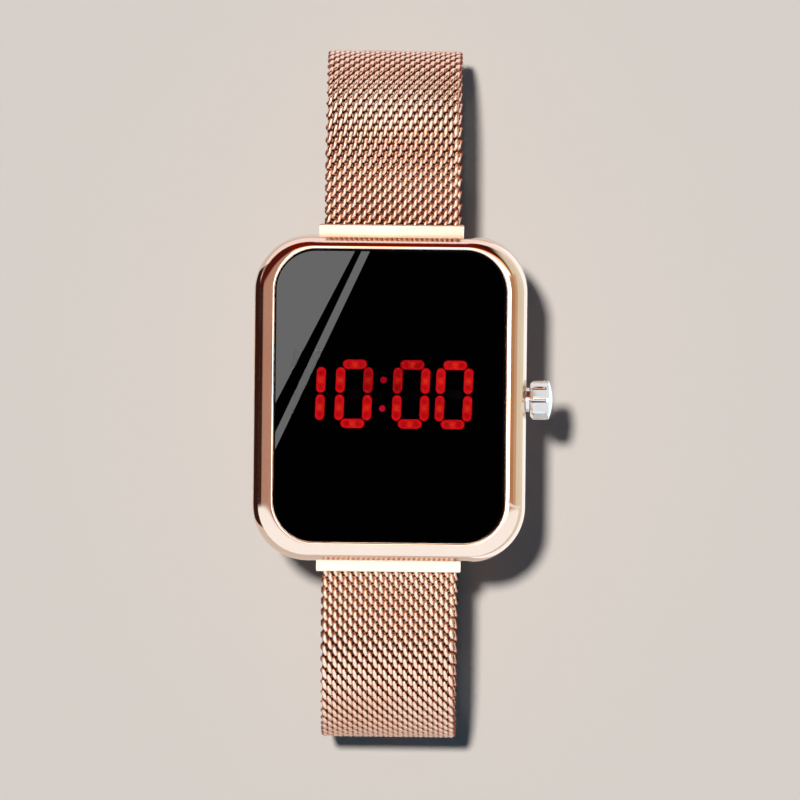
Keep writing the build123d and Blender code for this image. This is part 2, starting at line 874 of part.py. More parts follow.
def make_clasp_ring():
    """The strap's sleeve and its rectangular ring, in one piece."""
    bar_half = ring_bar_diameter / 2
    bar_span = (-ring_half + bar_half, ring_half - bar_half)
    ring = rod_x(ring_bar_diameter, bar_span, ring_bar_y, ring_bar_z)
    z_span = (ring_bar_z - bar_half, ring_bar_z + bar_half)
    for side in (-1, 1):
        x_span = sorted((side * (ring_half - ring_side_width), side * ring_half))
        ring += block(x_span, (ring_bar_y - bar_half, window_end), z_span)
    sleeve_top = run_z + strap_thickness / 2 + sleeve_wall
    sleeve = block((-ring_half, ring_half), (window_end, sleeve_end), (z_span[0], sleeve_top))
    sleeve = fillet(sleeve.edges().filter_by(Axis.X), sleeve_edge)
    pocket_half = strap_width / 2 + pocket_gap
    pocket_z = strap_thickness / 2 + pocket_gap
    ring += sleeve
    return ring - block(
        (-pocket_half, pocket_half),
        (sleeve_end - sleeve_pocket_depth, sleeve_end + overrun),
        (run_z - pocket_z, run_z + pocket_z),
    )


def magnet_block(gap):
    """The magnet's place in the tip plate, grown by a gap."""
    top = run_z - strap_thickness / 2 - tip_plate_gap
    half = magnet_width / 2 + gap
    start = flap_end_y + magnet_inset - gap
    y_span = (start, start + magnet_length + 2 * gap)
    return block((-half, half), y_span, (top - magnet_thickness - gap, top))


def make_magnet_tip():
    """The metal plate at the end of the flap, with pockets for tongue and magnet."""
    top = run_z - strap_thickness / 2 - tip_plate_gap
    half = strap_width / 2 + tip_plate_side
    y_span = (flap_end_y, flap_end_y + tip_plate_length)
    tip = block((-half, half), y_span, (0, top))
    tip = fillet(tip.edges().filter_by(Axis.Z).sort_by(Axis.Y)[:2], tip_plate_corner)
    tongue_half = strap_width / 2 - tongue_side + pocket_gap
    tongue_z = tongue_thickness / 2 + pocket_gap
    tip -= block(
        (-tongue_half, tongue_half),
        (y_span[1] - tongue_length - pocket_gap, y_span[1]),
        (flap_z - tongue_z, flap_z + tongue_z),
    )
    return tip - magnet_block(pocket_gap)


bar_12_tube, bar_6_tube = twelve_and_six(make_spring_bar_tube())
bar_12_tips, bar_6_tips = twelve_and_six(make_spring_bar_tips())
bar_12_coil, bar_6_coil = twelve_and_six(make_spring_bar_coil())
end_piece_12, end_piece_6 = twelve_and_six(make_end_piece())
mesh_12_upper, mesh_6_upper = twelve_and_six(make_mesh_upper())
mesh_12_lower, mesh_6_lower = twelve_and_six(make_mesh_lower())

nodes = {
    "case_body": make_case_body(),
    "lens": make_lens(),
    "lens_gasket": make_lens_gasket(),
    "display_filter": make_display_filter(),
    "display_mask": make_display_mask(),
    "led_hour_tens": Compound(raised(one_bars())),
    "led_hour_units": Compound(raised(zero_bars(hour_units_x))),
    "led_colon": Compound(raised(colon_dots())),
    "led_minute_tens": Compound(raised(zero_bars(minute_tens_x))),
    "led_minute_units": Compound(raised(zero_bars(minute_units_x))),
    "led_unlit_bars": Compound(raised(middle_bars())),
    "led_board": make_led_board(),
    "board_screws": make_board_screws(),
    "controller_chip": make_controller_chip(),
    "crystal_can": make_crystal_can(),
    "board_resistors": make_board_resistors(),
    "switch_body": make_switch_body(),
    "switch_plunger": make_switch_plunger(),
    "module_frame": make_module_frame(),
    "battery": make_battery(),
    "battery_contact": make_battery_contact(),
    "battery_clip": make_battery_clip(),
    "rear_cover": make_rear_cover(),
    "rear_gasket": make_rear_gasket(),
    "rear_screws": make_rear_screws(),
    "crown_tube": make_crown_tube(),
    "crown_gasket": make_crown_gasket(),
    "crown_spring": make_crown_spring(),
    "crown": make_crown(),
    "crown_stem": make_crown_stem(),
    "stem_clip": make_stem_clip(),
    "stem_pad": make_stem_pad(),
    "spring_bar_12_tube": bar_12_tube,
    "spring_bar_12_tips": bar_12_tips,
    "spring_bar_12_coil": bar_12_coil,
    "spring_bar_6_tube": bar_6_tube,
    "spring_bar_6_tips": bar_6_tips,
    "spring_bar_6_coil": bar_6_coil,
    "end_piece_12": end_piece_12,
    "mesh_12_upper": mesh_12_upper,
    "mesh_12_lower": mesh_12_lower,
    "mesh_12_tail": make_mesh_12_tail(),
    "clasp_ring": make_clasp_ring(),
    "end_piece_6": end_piece_6,
    "mesh_6_upper": mesh_6_upper,
    "mesh_6_lower": mesh_6_lower,
    "mesh_6_tail": make_mesh_6_tail(),
    "mesh_6_flap": make_mesh_6_flap(),
    "magnet_tip": make_magnet_tip(),
    "clasp_magnet": magnet_block(0),
}

os.makedirs("parts", exist_ok=True)
for name, shape in nodes.items():
    export_step(shape, f"parts/{name}.step")
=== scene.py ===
"""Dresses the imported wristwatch: woven rose gold strap, polished case, red light display."""

import logging
import math
from dataclasses import dataclass, field
from enum import Enum

import bmesh
import bpy
from mathutils import Matrix, Vector


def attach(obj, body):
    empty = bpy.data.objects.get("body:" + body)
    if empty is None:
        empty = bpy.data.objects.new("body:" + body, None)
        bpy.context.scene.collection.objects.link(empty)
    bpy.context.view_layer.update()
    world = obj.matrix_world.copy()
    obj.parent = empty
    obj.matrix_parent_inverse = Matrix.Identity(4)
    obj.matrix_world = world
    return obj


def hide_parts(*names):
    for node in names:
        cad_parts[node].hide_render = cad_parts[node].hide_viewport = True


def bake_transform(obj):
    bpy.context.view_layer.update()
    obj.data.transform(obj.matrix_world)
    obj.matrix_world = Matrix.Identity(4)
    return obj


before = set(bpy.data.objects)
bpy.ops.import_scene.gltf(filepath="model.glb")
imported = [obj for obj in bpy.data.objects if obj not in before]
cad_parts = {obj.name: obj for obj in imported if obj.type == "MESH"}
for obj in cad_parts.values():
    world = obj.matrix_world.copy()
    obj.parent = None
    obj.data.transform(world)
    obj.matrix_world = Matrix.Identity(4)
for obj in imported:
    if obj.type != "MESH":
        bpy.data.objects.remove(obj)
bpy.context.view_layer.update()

MM = 0.001
Socket = bpy.types.NodeSocket
Term = float | tuple | str | Socket
log = logging.getLogger("watch")


def linear(code: str) -> tuple[float, float, float, float]:
    """Turns an sRGB hex colour into Blender's linear colour.

    Args:
        code: Six hex digits, with or without a leading #.

    Returns:
        Red, green, blue and an alpha of 1.
    """
    values = [int(code.lstrip("#")[at : at + 2], 16) / 255 for at in (0, 2, 4)]
    curved = [v / 12.92 if v <= 0.04045 else ((v + 0.055) / 1.055) ** 2.4 for v in values]
    return (*curved, 1.0)


class Graph:
    """A node tree being wired. A term is a number, a colour or the socket of another node."""

    def __init__(self, tree: bpy.types.NodeTree) -> None:
        """Starts on an empty tree."""
        self.tree = tree

    def node(self, kind: str, terms: dict | None = None, **settings: object) -> bpy.types.Node:
        """Adds a node.

        Args:
            kind: Blender's name for the node type.
            terms: Input socket name or number to its value, or to the socket that feeds it.
            settings: The node's own properties.

        Returns:
            The new node.
        """
        node = self.tree.nodes.new(kind)
        for name, value in settings.items():
            setattr(node, name, value)
        for name, term in (terms or {}).items():
            if isinstance(term, Socket):
                self.tree.links.new(term, node.inputs[name])
            else:
                node.inputs[name].default_value = term
        return node

    def sum(self, operation: str, *terms: Term, **settings: object) -> Socket:
        """Adds a sum.

        Args:
            operation: What it does.
            terms: Its inputs in order.
            settings: The node's own properties.

        Returns:
            The result.
        """
        numbered = dict(enumerate(terms))
        return self.node("ShaderNodeMath", numbered, operation=operation, **settings).outputs[0]

    def measure(self, operation: str, *terms: Term) -> Socket:
        """Adds a vector sum that gives one number.

        Args:
            operation: What it does.
            terms: Its vectors in order.

        Returns:
            The number.
        """
        numbered = dict(enumerate(terms))
        return self.node("ShaderNodeVectorMath", numbered, operation=operation).outputs["Value"]

    def spread(
        self,
        value: Socket,
        before: tuple[float, float] = (0.0, 1.0),
        after: tuple[float, float] = (0.0, 1.0),
        smooth: bool = False,
    ) -> Socket:
        """Spreads one range over another.

        Args:
            value: The number that varies.
            before: The range it varies in.
            after: The range it is given.
            smooth: Whether it eases in and out.

        Returns:
            The number after.
        """
        terms = {"Value": value, "From Min": before[0], "From Max": before[1]}
        terms |= {"To Min": after[0], "To Max": after[1]}
        ease = "SMOOTHSTEP" if smooth else "LINEAR"
        return self.node("ShaderNodeMapRange", terms, interpolation_type=ease).outputs[0]

    def blend(self, factor: Socket, low: Term, high: Term) -> Socket:
        """Fades between two colours.

        Args:
            factor: 0 gives the first colour and 1 the second.
            low: The first colour, in hex or as a term.
            high: The second colour.

        Returns:
            The mixed colour.
        """
        pair = [linear(colour) if isinstance(colour, str) else colour for colour in (low, high)]
        terms = {0: factor, 6: pair[0], 7: pair[1]}
        return self.node("ShaderNodeMix", terms, data_type="RGBA").outputs[2]

    def noise(self, place: Socket, scale: float, detail: float, roughness: float = 0.5) -> Socket:
        """Adds a cloudy pattern.

        Args:
            place: Where it is looked up.
            scale: How fine it is.
            detail: How many finer layers it has.
            roughness: How strong these are.

        Returns:
            The pattern's strength.
        """
        terms = {"Vector": place, "Scale": scale, "Detail": detail, "Roughness": roughness}
        return self.node("ShaderNodeTexNoise", terms).outputs["Fac"]

    def surface(self, shader: bpy.types.Node, kind: str = "Material") -> None:
        """Sends a shader to the tree's output, of a material or a world."""
        self.node(f"ShaderNodeOutput{kind}", {"Surface": shader.outputs[0]})


def new_material(name: str) -> tuple[bpy.types.Material, Graph]:
    """Makes an empty node material.

    Args:
        name: The material's name.

    Returns:
        The material and its graph.
    """
    material = bpy.data.materials.new(name)
    material.use_nodes = True
    material.node_tree.nodes.clear()
    return material, Graph(material.node_tree)


@dataclass(frozen=True)
class Finish:
    """A surface finish: what the real material is and how its surface was made."""

    name: str
    colour: str
    shade: str
    roughness: tuple[float, float]
    grain_mm: float
    metallic: float = 0.0
    stretch: tuple[float, float, float] = (1.0, 1.0, 1.0)
    bump_mm: float = 0.0
    wear: str = ""
    wear_mm: float = 0.12
    wear_turn: tuple[float, float] = (0.995, 0.9)
    wear_strength: float = 0.7
    wear_smooth: float = 0.7
    alpha: float = 1.0
    coat: float = 0.0
    specular: float = 0.5
    painted_shade: str = ""
    painted_shade_heights: tuple[float, float] = (0.42, 0.92)
    cloud_mm: float = 9.0
    grain_share: float = 0.45
    grain_range: tuple[float, float] = (0.45, 1.0)

    def material(self) -> bpy.types.Material:
        """Builds the node material: grain in colour, roughness and bump, wear, and painted shade
        low down on woven wire.

        Returns:
            The material.
        """
        material, graph = new_material(self.name)
        place = graph.node("ShaderNodeTexCoord").outputs["Object"]
        scale = [1 / (self.grain_mm * MM) * share for share in self.stretch]
        mapped = graph.node("ShaderNodeMapping", {"Scale": scale, "Vector": place}).outputs[0]
        grain = graph.noise(mapped, 1.0, 3.0, 0.6)
        cloud = graph.noise(place, 1 / (self.cloud_mm * MM), 1.0)
        both = graph.sum("MULTIPLY_ADD", grain, self.grain_share, cloud)
        spread = graph.spread(both, self.grain_range)
        colour = graph.blend(spread, self.shade, self.colour)
        rough = graph.spread(spread, after=self.roughness)
        if self.wear:
            colour, rough = self.worn_edges(graph, colour, rough)
        # Painted shade: the wire's colour darkens towards its low parts, where the wires cross and
        # shade falls.
        if self.painted_shade:
            height = graph.node("ShaderNodeAttribute", attribute_name="height").outputs["Fac"]
            shade_share = graph.spread(height, self.painted_shade_heights, (1.0, 0.0), smooth=True)
            colour = graph.blend(shade_share, colour, self.painted_shade)
        terms = {"Metallic": self.metallic, "Alpha": self.alpha, "Coat Weight": self.coat}
        terms |= {"Base Color": colour, "Roughness": rough}
        if not self.metallic:
            terms["Specular IOR Level"] = self.specular
        if self.bump_mm:
            bump = {"Distance": self.bump_mm * MM, "Strength": 1.0, "Height": grain}
            terms["Normal"] = graph.node("ShaderNodeBump", bump).outputs["Normal"]
        graph.surface(graph.node("ShaderNodeBsdfPrincipled", terms))
        return material

    def worn_edges(self, graph: Graph, colour: Socket, rough: Socket) -> tuple[Socket, Socket]:
        """Lightens and smooths the edges that hands and sleeves rub.

        Args:
            graph: The material's graph.
            colour: The colour before wear.
            rough: The roughness before wear.

        Returns:
            The colour and roughness after wear.
        """
        rounded = graph.node("ShaderNodeBevel", {"Radius": self.wear_mm * MM}, samples=4)
        plain = graph.node("ShaderNodeNewGeometry").outputs["Normal"]
        turn = graph.measure("DOT_PRODUCT", rounded.outputs["Normal"], plain)
        edge = graph.spread(turn, self.wear_turn, (0.0, self.wear_strength))
        rubbed = self.roughness[0] * self.wear_smooth
        smooth = graph.node("ShaderNodeMix", {0: edge, 2: rough, 3: rubbed})
        return graph.blend(edge, colour, self.wear), smooth.outputs[0]


class Metals(Enum):
    """The watch's metals: name, light and dark colour, roughness and grain size."""

    # Rose gold vapour plating on polished steel: mirror bright, with faint cloth swirls.
    POLISHED_ROSE = Finish(
        "polished_rose_gold_plating", "#F8DECE", "#F4D6C4", (0.06, 0.11), 0.35,
        metallic=1.0, bump_mm=0.0006, wear="#F8DCC8",
    )
    # The same plating over a fine brushed grain along X: a broad soft sheen.
    BRUSHED_ROSE = Finish(
        "brushed_rose_gold_plating", "#EDC0A4", "#DFAE92", (0.24, 0.36), 0.12,
        metallic=1.0, stretch=(0.05, 1.0, 1.0), bump_mm=0.003, wear="#F8DCC8",
    )
    # Plating on bead-blasted strap ends, a satin that spreads the light evenly; its colour is paler
    # than the same plating on the case, a painted highlight.
    TUMBLED_ROSE = Finish(
        "satin_rose_gold_painted_highlight", "#FFF0E2", "#FAE8DA", (0.38, 0.5), 0.25,
        metallic=1.0, bump_mm=0.001, wear="#FDF0E6",
    )
    # Drawn steel wire with rose gold plating: bright crests, and a painted shade that darkens it
    # low down where the wires cross.
    DRAWN_WIRE = Finish(
        "drawn_rose_gold_wire", "#FFE0CC", "#F8CCB2", (0.14, 0.24), 0.3,
        metallic=1.0, painted_shade="#8A3C20",
    )
    # Chrome plating on a turned crown: pale and mirror bright.
    CHROME = Finish(
        "polished_chrome_plating", "#E8E8E8", "#DEDEDF", (0.07, 0.12), 0.3,
        metallic=1.0, bump_mm=0.0005, wear="#F4F4F6",
    )
    # Turned stainless steel: fine tool rings read as a soft grey sheen.
    STEEL = Finish(
        "turned_stainless_steel", "#CBCBCD", "#A9A9AC", (0.22, 0.36), 0.08,
        metallic=1.0, stretch=(1.0, 0.2, 1.0), bump_mm=0.002, wear="#E4E4E6",
    )
    # Nickel plated cell can: bright with a faint rolled grain.
    NICKEL = Finish(
        "rolled_nickel_plating", "#D6D4CF", "#BDBAB4", (0.16, 0.28), 0.15,
        metallic=1.0, stretch=(0.1, 1.0, 1.0), bump_mm=0.001, wear="#E8E6E0",
    )
    # Stamped phosphor bronze strip with flash plating: a warm springy shine.
    SPRING_BRONZE = Finish(
        "stamped_spring_bronze", "#D9B56E", "#B98F4B", (0.2, 0.34), 0.12,
        metallic=1.0, bump_mm=0.001, wear="#EBD199",
    )


class Others(Enum):
    """The watch's plastics and rubber."""

    # Dark film over the lights, die cut: takes the shine off what is behind it.
    SMOKE_FILM = Finish(
        "die_cut_smoke_film", "#160506", "#0E0304", (0.25, 0.35), 0.2, alpha=0.35, specular=0.02
    )
    # Glass filled black plastic, moulded: a fine matt texture.
    MOULDED_BLACK = Finish(
        "moulded_black_plastic", "#171719", "#101012", (0.5, 0.65), 0.12,
        bump_mm=0.004, wear="#2A2A2D",
    )
    # The light mask is the same plastic, sprayed dead matt so that no light strays.
    SPRAYED_MASK = Finish(
        "sprayed_matt_mask", "#050505", "#030303", (0.8, 0.95), 0.1, bump_mm=0.003, specular=0.05
    )
    # Nitrile rubber seal, moulded: dull black.
    SEAL_RUBBER = Finish(
        "moulded_seal_rubber", "#1A1A1A", "#111111", (0.7, 0.85), 0.15, bump_mm=0.003
    )
    # Green solder mask on a glass cloth board: the cloth shows through as a faint grain.
    SOLDER_MASK = Finish(
        "green_solder_mask", "#1F6B3A", "#175530", (0.3, 0.45), 0.25, bump_mm=0.003, coat=0.3
    )
    # Moulded epoxy of chips and small parts: a dull dark grey.
    CHIP_EPOXY = Finish(
        "moulded_chip_epoxy", "#222225", "#17171A", (0.5, 0.7), 0.08, bump_mm=0.003
    )
    # Epoxy coated magnet: glossy black with a slight orange peel.
    COATED_MAGNET = Finish(
        "epoxy_coated_magnet", "#1B1B1D", "#131315", (0.2, 0.35), 0.5,
        bump_mm=0.004, wear="#3A3A3C",
    )
    # Cast red diffuser with its light off: nearly black.
    UNLIT_DIFFUSER = Finish("unlit_red_diffuser", "#0B0304", "#070203", (0.4, 0.5), 0.2)


@dataclass(frozen=True)
class PrintedGlass:
    """Smoked mineral glass, polished, with a black border printed round a see-through window."""

    name: str = "printed_smoked_glass"
    colour: str = "#010101"
    window: tuple[float, float] = (13.4, 6.0)
    middle_y: float = 0.65
    print_edge: float = 0.2
    smoke: float = 0.4
    border_specular: float = 0.585
    wipe_scale: tuple[float, float, float] = (120.0, 900.0, 1.0)
    wipe_roughness: float = 0.004
    flat_edge: tuple[float, float] = (0.9, 0.99)
    inked_edge: dict[str, float] = field(
        default_factory=lambda: {"Specular IOR Level": 0.1, "Roughness": 0.6}, hash=False
    )

    def material(self) -> bpy.types.Material:
        """Builds the print, the smoke in the window and the faint marks of wiping.

        Returns:
            The material.
        """
        material, graph = new_material(self.name)
        place = graph.node("ShaderNodeTexCoord").outputs
        parts = graph.node("ShaderNodeSeparateXYZ", {0: place["Object"]}).outputs
        level = graph.sum("ADD", parts["Y"], -self.middle_y * MM)
        printed = []
        for socket, half in zip((parts["X"], level), self.window):
            reach = (half * MM, (half + self.print_edge) * MM)
            printed.append(graph.spread(graph.sum("ABSOLUTE", socket), reach))
        border = graph.sum("MAXIMUM", *printed)
        wiped = {"Scale": self.wipe_scale, "Vector": place["Object"]}
        marks = graph.noise(graph.node("ShaderNodeMapping", wiped).outputs[0], 1.0, 2.0)
        shares = {
            "Alpha": (border, (self.smoke, 1.0)),
            "Specular IOR Level": (border, (1.0, self.border_specular)),
            "Roughness": (marks, (0.0, self.wipe_roughness)),
        }
        facing = graph.node("ShaderNodeSeparateXYZ", {0: place["Normal"]}).outputs["Z"]
        flat = graph.spread(facing, self.flat_edge)
        terms = {"Base Color": linear(self.colour)}
        for name, (factor, reach) in shares.items():
            terms[name] = graph.spread(factor, after=reach)
            if name in self.inked_edge:
                inked = {0: flat, 2: self.inked_edge[name], 3: terms[name]}
                terms[name] = graph.node("ShaderNodeMix", inked).outputs[0]
        graph.surface(graph.node("ShaderNodeBsdfPrincipled", terms))
        return material


@dataclass(frozen=True)
class LitDiffuser:
    """A red cast diffuser over two small lights: an even glow, with each chip as a darker spot."""

    name: str = "lit_red_diffuser"
    body: str = "#F0101A"
    core: str = "#FF3A1A"
    spot: str = "#CC0A10"
    base: str = "#3A0507"
    roughness: float = 0.4
    strength: float = 3.1
    spot_mm: float = 0.55
    core_mm: float = 0.6

    def material(self) -> bpy.types.Material:
        """Builds the glow from each bar's own length and width, kept in its attribute.

        Returns:
            The material.
        """
        material, graph = new_material(self.name)
        place = graph.node("ShaderNodeAttribute", attribute_name="bar_place").outputs["Vector"]
        parts = graph.node("ShaderNodeSeparateXYZ", {0: place}).outputs
        from_chip = graph.sum("SUBTRACT", graph.sum("ABSOLUTE", parts["X"]), parts["Z"])
        distances = []
        for along in (from_chip, parts["X"]):
            point = graph.node("ShaderNodeCombineXYZ", {0: along, 1: parts["Y"]}).outputs[0]
            distances.append(graph.measure("LENGTH", point))
        dark = graph.spread(distances[0], (self.spot_mm * 0.4, self.spot_mm), (1.0, 0.0), True)
        glow = graph.spread(distances[1], (0.0, self.core_mm), (1.0, 0.0), True)
        shown = graph.blend(dark, graph.blend(glow, self.body, self.core), self.spot)
        terms = {"Base Color": linear(self.base), "Roughness": self.roughness}
        terms |= {"Emission Strength": self.strength, "Emission Color": shown}
        graph.surface(graph.node("ShaderNodeBsdfPrincipled", terms))
        return material


class Library:
    """Makes each finish once and hands it out."""

    def __init__(self) -> None:
        """Starts with nothing made."""
        self.made: dict[str, bpy.types.Material] = {}

    def get(self, finish: Enum | LitDiffuser | PrintedGlass) -> bpy.types.Material:
        """Gives a finish's material.

        Args:
            finish: A named finish.

        Returns:
            Its material, made at first use.
        """
        recipe = finish.value if isinstance(finish, Enum) else finish
        if recipe.name not in self.made:
            self.made[recipe.name] = recipe.material()
        return self.made[recipe.name]


def linked(name: str, data: bpy.types.ID) -> bpy.types.Object:
    """Puts a mesh, lamp or camera into the scene as an object.

    Args:
        name: The object's name.
        data: What it shows.

    Returns:
        The new object, at the origin.
    """
    made = bpy.data.objects.new(name, data)
    bpy.context.scene.collection.objects.link(made)
    return made


def piece(
    name: str, mesh: bpy.types.Mesh, material: bpy.types.Material, sharp_degrees: float = 30.0
) -> bpy.types.Object:
    """Links a finished mesh as a named piece at the origin.

    Args:
        name: The piece's name.
        mesh: Its mesh, in place and in metres.
        material: Its material.
        sharp_degrees: Edges that turn by more than this stay sharp.

    Returns:
        The new object.
    """
    mesh.materials.clear()
    mesh.materials.append(material)
    mesh.polygons.foreach_set("use_smooth", [True] * len(mesh.polygons))
    mesh.set_sharp_from_angle(angle=math.radians(sharp_degrees))
    log.info("%s: %d faces", name, len(mesh.polygons))
    return linked(name, mesh)


def mesh_of(name: str, points: list[Vector], faces: list[tuple[int, ...]]) -> bpy.types.Mesh:
    """Makes a closed mesh from points in millimetres, its faces turned outwards.

    Args:
        name: The mesh's name.
        points: Its corners in millimetres.
        faces: Its faces.

    Returns:
        The mesh in metres.
    """
    mesh = bpy.data.meshes.new(name)
    mesh.from_pydata([tuple(point * MM) for point in points], [], faces)
    work = bmesh.new()
    work.from_mesh(mesh)
    bmesh.ops.remove_doubles(work, verts=work.verts, dist=1e-7)
    bmesh.ops.recalc_face_normals(work, faces=work.faces)
    work.to_mesh(mesh)
    work.free()
    return mesh


def plain_mesh(source: bpy.types.Object) -> bpy.types.Mesh:
    """Bakes an object's modifiers into a plain mesh and removes the object.

    Args:
        source: The object with modifiers.

    Returns:
        Its evaluated mesh.
    """
    bpy.context.view_layer.update()
    graph = bpy.context.evaluated_depsgraph_get()
    mesh = bpy.data.meshes.new_from_object(source.evaluated_get(graph), depsgraph=graph)
    bpy.data.objects.remove(source)
    return mesh


def quads(rows: int, count: int, first: int = 0, closed: bool = False) -> list[tuple[int, ...]]:
    """Joins rows of points, each a closed outline, by four-cornered faces.

    Args:
        rows: How many rows there are.
        count: How many points each row has.
        first: The number of the first point.
        closed: Whether the last row joins the first.

    Returns:
        The faces.
    """
    faces = []
    for row in range(rows if closed else rows - 1):
        low, high = first + row * count, first + (row + 1) % rows * count
        for at in range(count):
            after = (at + 1) % count
            faces.append((low + at, low + after, high + after, high + at))
    return faces


def quarter(steps: int, first: int = 0) -> list[tuple[float, float]]:
    """Goes through a quarter turn.

    Args:
        steps: How many steps it has.
        first: The first step that is wanted.

    Returns:
        Each step's cosine and sine.
    """
    turns = [math.radians(90 * step / steps) for step in range(first, steps + 1)]
    return [(math.cos(turn), math.sin(turn)) for turn in turns]


def compass(degrees: float) -> Vector:
    """Gives the level direction at an angle from X."""
    return Vector((math.cos(math.radians(degrees)), math.sin(math.radians(degrees)), 0))


@dataclass(frozen=True)
class Ring:
    """A rounded rectangle at one height, in millimetres."""

    width: float
    length: float
    corner: float
    z: float
    middle_y: float = 0.0
    lead: float = 0.35

    def points(self, steps: int) -> list[Vector]:
        """Gives the outline's points, the same count at any size.

        Args:
            steps: Steps round each corner.

        Returns:
            Points round the outline, with one more a little way along each straight.
        """
        half_x, half_y = self.width / 2 - self.corner, self.length / 2 - self.corner
        points = []
        for side_x, side_y, start in ((1, 1, 0), (-1, 1, 90), (-1, -1, 180), (1, -1, 270)):
            middle = Vector((side_x * half_x, self.middle_y + side_y * half_y, self.z))
            turns = [start + 90 * step / steps for step in range(steps + 1)]
            arc = [middle + self.corner * compass(turn) for turn in turns]
            points.append(arc[0] + self.lead * compass(start - 90))
            points += arc
            points.append(arc[-1] + self.lead * compass(start + 180))
        return points


@dataclass
class Case:
    """The case: a polished one-piece body with a rounded rim, notched for the strap."""

    width: float = 37.8
    length: float = 45.0
    corner: float = 7.7
    back_z: float = 26.3
    shoulder_z: float = 33.0
    top_z: float = 35.8
    back_round: float = 1.0
    glass: tuple[float, float, float] = (32.2, 40.8, 5.8)
    glass_rise: float = 0.45
    land: float = 0.15
    edge_break: float = 0.07
    ledge_z: float = 33.95
    cavity: tuple[float, float, float] = (31.0, 36.0, 7.0)
    recess: tuple[float, float, float] = (33.3, 37.3, 3.05)
    recess_top: float = 27.5
    notch_half: float = 10.1
    notch_y: float = 19.3
    notch_top: float = 32.6
    spring_bar: tuple[float, float] = (20.8, 30.3)
    tip_hole: tuple[float, float] = (0.9, 11.05)
    tube: tuple[float, float] = (2.6, 31.15)
    screws: tuple[float, float] = (14.2, 16.9)
    screw_hole: tuple[float, float] = (1.16, 29.2)
    hole_sides: int = 32
    back_steps: int = 8
    rim_steps: int = 24
    edge_steps: int = 4
    corner_steps: int = 22

    def rings(self) -> list[Ring]:
        """Lists the outlines from the cavity, round the back and the rim, to the cavity.

        Returns:
            The outlines in order.
        """
        width, length, corner = self.glass
        rings = [
            Ring(*self.cavity, self.recess_top),
            Ring(*self.recess, self.recess_top),
            Ring(*self.recess, self.back_z),
        ]
        outer = (self.width, self.length, self.corner)
        for out, up in quarter(self.back_steps):
            inset = self.back_round * (1 - up)
            size = (outer[0] - 2 * inset, outer[1] - 2 * inset, outer[2] - inset)
            rings.append(Ring(*size, self.back_z + self.back_round * (1 - out)))
        inner = (width + 2 * self.land, length + 2 * self.land, corner + self.land)
        for out, up in quarter(self.rim_steps):
            size = [low + (high - low) * out for low, high in zip(inner, outer)]
            z = self.shoulder_z + (self.top_z - self.shoulder_z) * up
            rings.append(Ring(*size, z, self.glass_rise * (1 - out)))
        for out, up in quarter(self.edge_steps):
            grow = 2 * self.edge_break * (1 - up)
            z = self.top_z - self.edge_break * (1 - out)
            rings.append(Ring(width + grow, length + grow, corner + grow / 2, z, self.glass_rise))
        rings.append(Ring(width, length, corner, self.ledge_z, self.glass_rise))
        rings.append(Ring(*self.cavity, self.ledge_z))
        return rings

    def cutter(self) -> bpy.types.Object:
        """Makes the notches' and holes' cutting shape.

        Returns:
            The cutting shape, linked.
        """
        work = bmesh.new()
        bar_y, bar_z = self.spring_bar
        for side in (-1, 1):
            height = self.notch_top - self.back_z + 1
            y = side * (self.notch_y + self.length / 2)
            middle = Matrix.Translation((0, y, self.notch_top - height / 2))
            size = Matrix.Diagonal((2 * self.notch_half, self.length, height, 1))
            bmesh.ops.create_cube(work, size=1, matrix=middle @ size)
            self.hole(work, self.tip_hole[0], (0, side * bar_y, bar_z), "X", 2 * self.tip_hole[1])
        self.hole(work, self.tube[0], (self.width / 2, 0, self.tube[1]), "X", self.width)
        for side_x in (-1, 1):
            for side_y in (-1, 1):
                middle = (side_x * self.screws[0], side_y * self.screws[1], self.back_z)
                height = 2 * (self.screw_hole[1] - self.back_z)
                self.hole(work, self.screw_hole[0], middle, "Z", height)
        mesh = bpy.data.meshes.new("case_cutter")
        work.transform(Matrix.Scale(MM, 4))
        work.to_mesh(mesh)
        work.free()
        return linked("case_cutter", mesh)

    def hole(
        self,
        work: bmesh.types.BMesh,
        diameter: float,
        middle: tuple[float, float, float],
        axis: str,
        length: float,
    ) -> None:
        """Adds one round hole to the cutting shape.

        Args:
            work: The shape so far.
            diameter: The hole's diameter.
            middle: Its middle.
            axis: X or Z.
            length: Its length.
        """
        turn = Matrix.Rotation(math.radians(90), 4, "Y") if axis == "X" else Matrix.Identity(4)
        place = Matrix.Translation(middle) @ turn
        size = {"radius1": diameter / 2, "radius2": diameter / 2, "depth": length}
        bmesh.ops.create_cone(work, cap_ends=True, segments=self.hole_sides, matrix=place, **size)

    def build(self, library: Library) -> None:
        """Builds the case and puts it in its place.

        Args:
            library: Where finishes come from.
        """
        rings = self.rings()
        points = [point for ring in rings for point in ring.points(self.corner_steps)]
        faces = quads(len(rings), len(points) // len(rings), closed=True)
        shell = linked("case_shell", mesh_of("case_shell", points, faces))
        cutter = self.cutter()
        cut = shell.modifiers.new("cut", "BOOLEAN")
        cut.operation = "DIFFERENCE"
        cut.solver = "EXACT"
        cut.use_self = True
        cut.object = cutter
        final = plain_mesh(shell)
        bpy.data.objects.remove(cutter)
        made = piece("watch_case", final, library.get(Metals.POLISHED_ROSE))
        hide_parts("case_body")
        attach(made, "case")


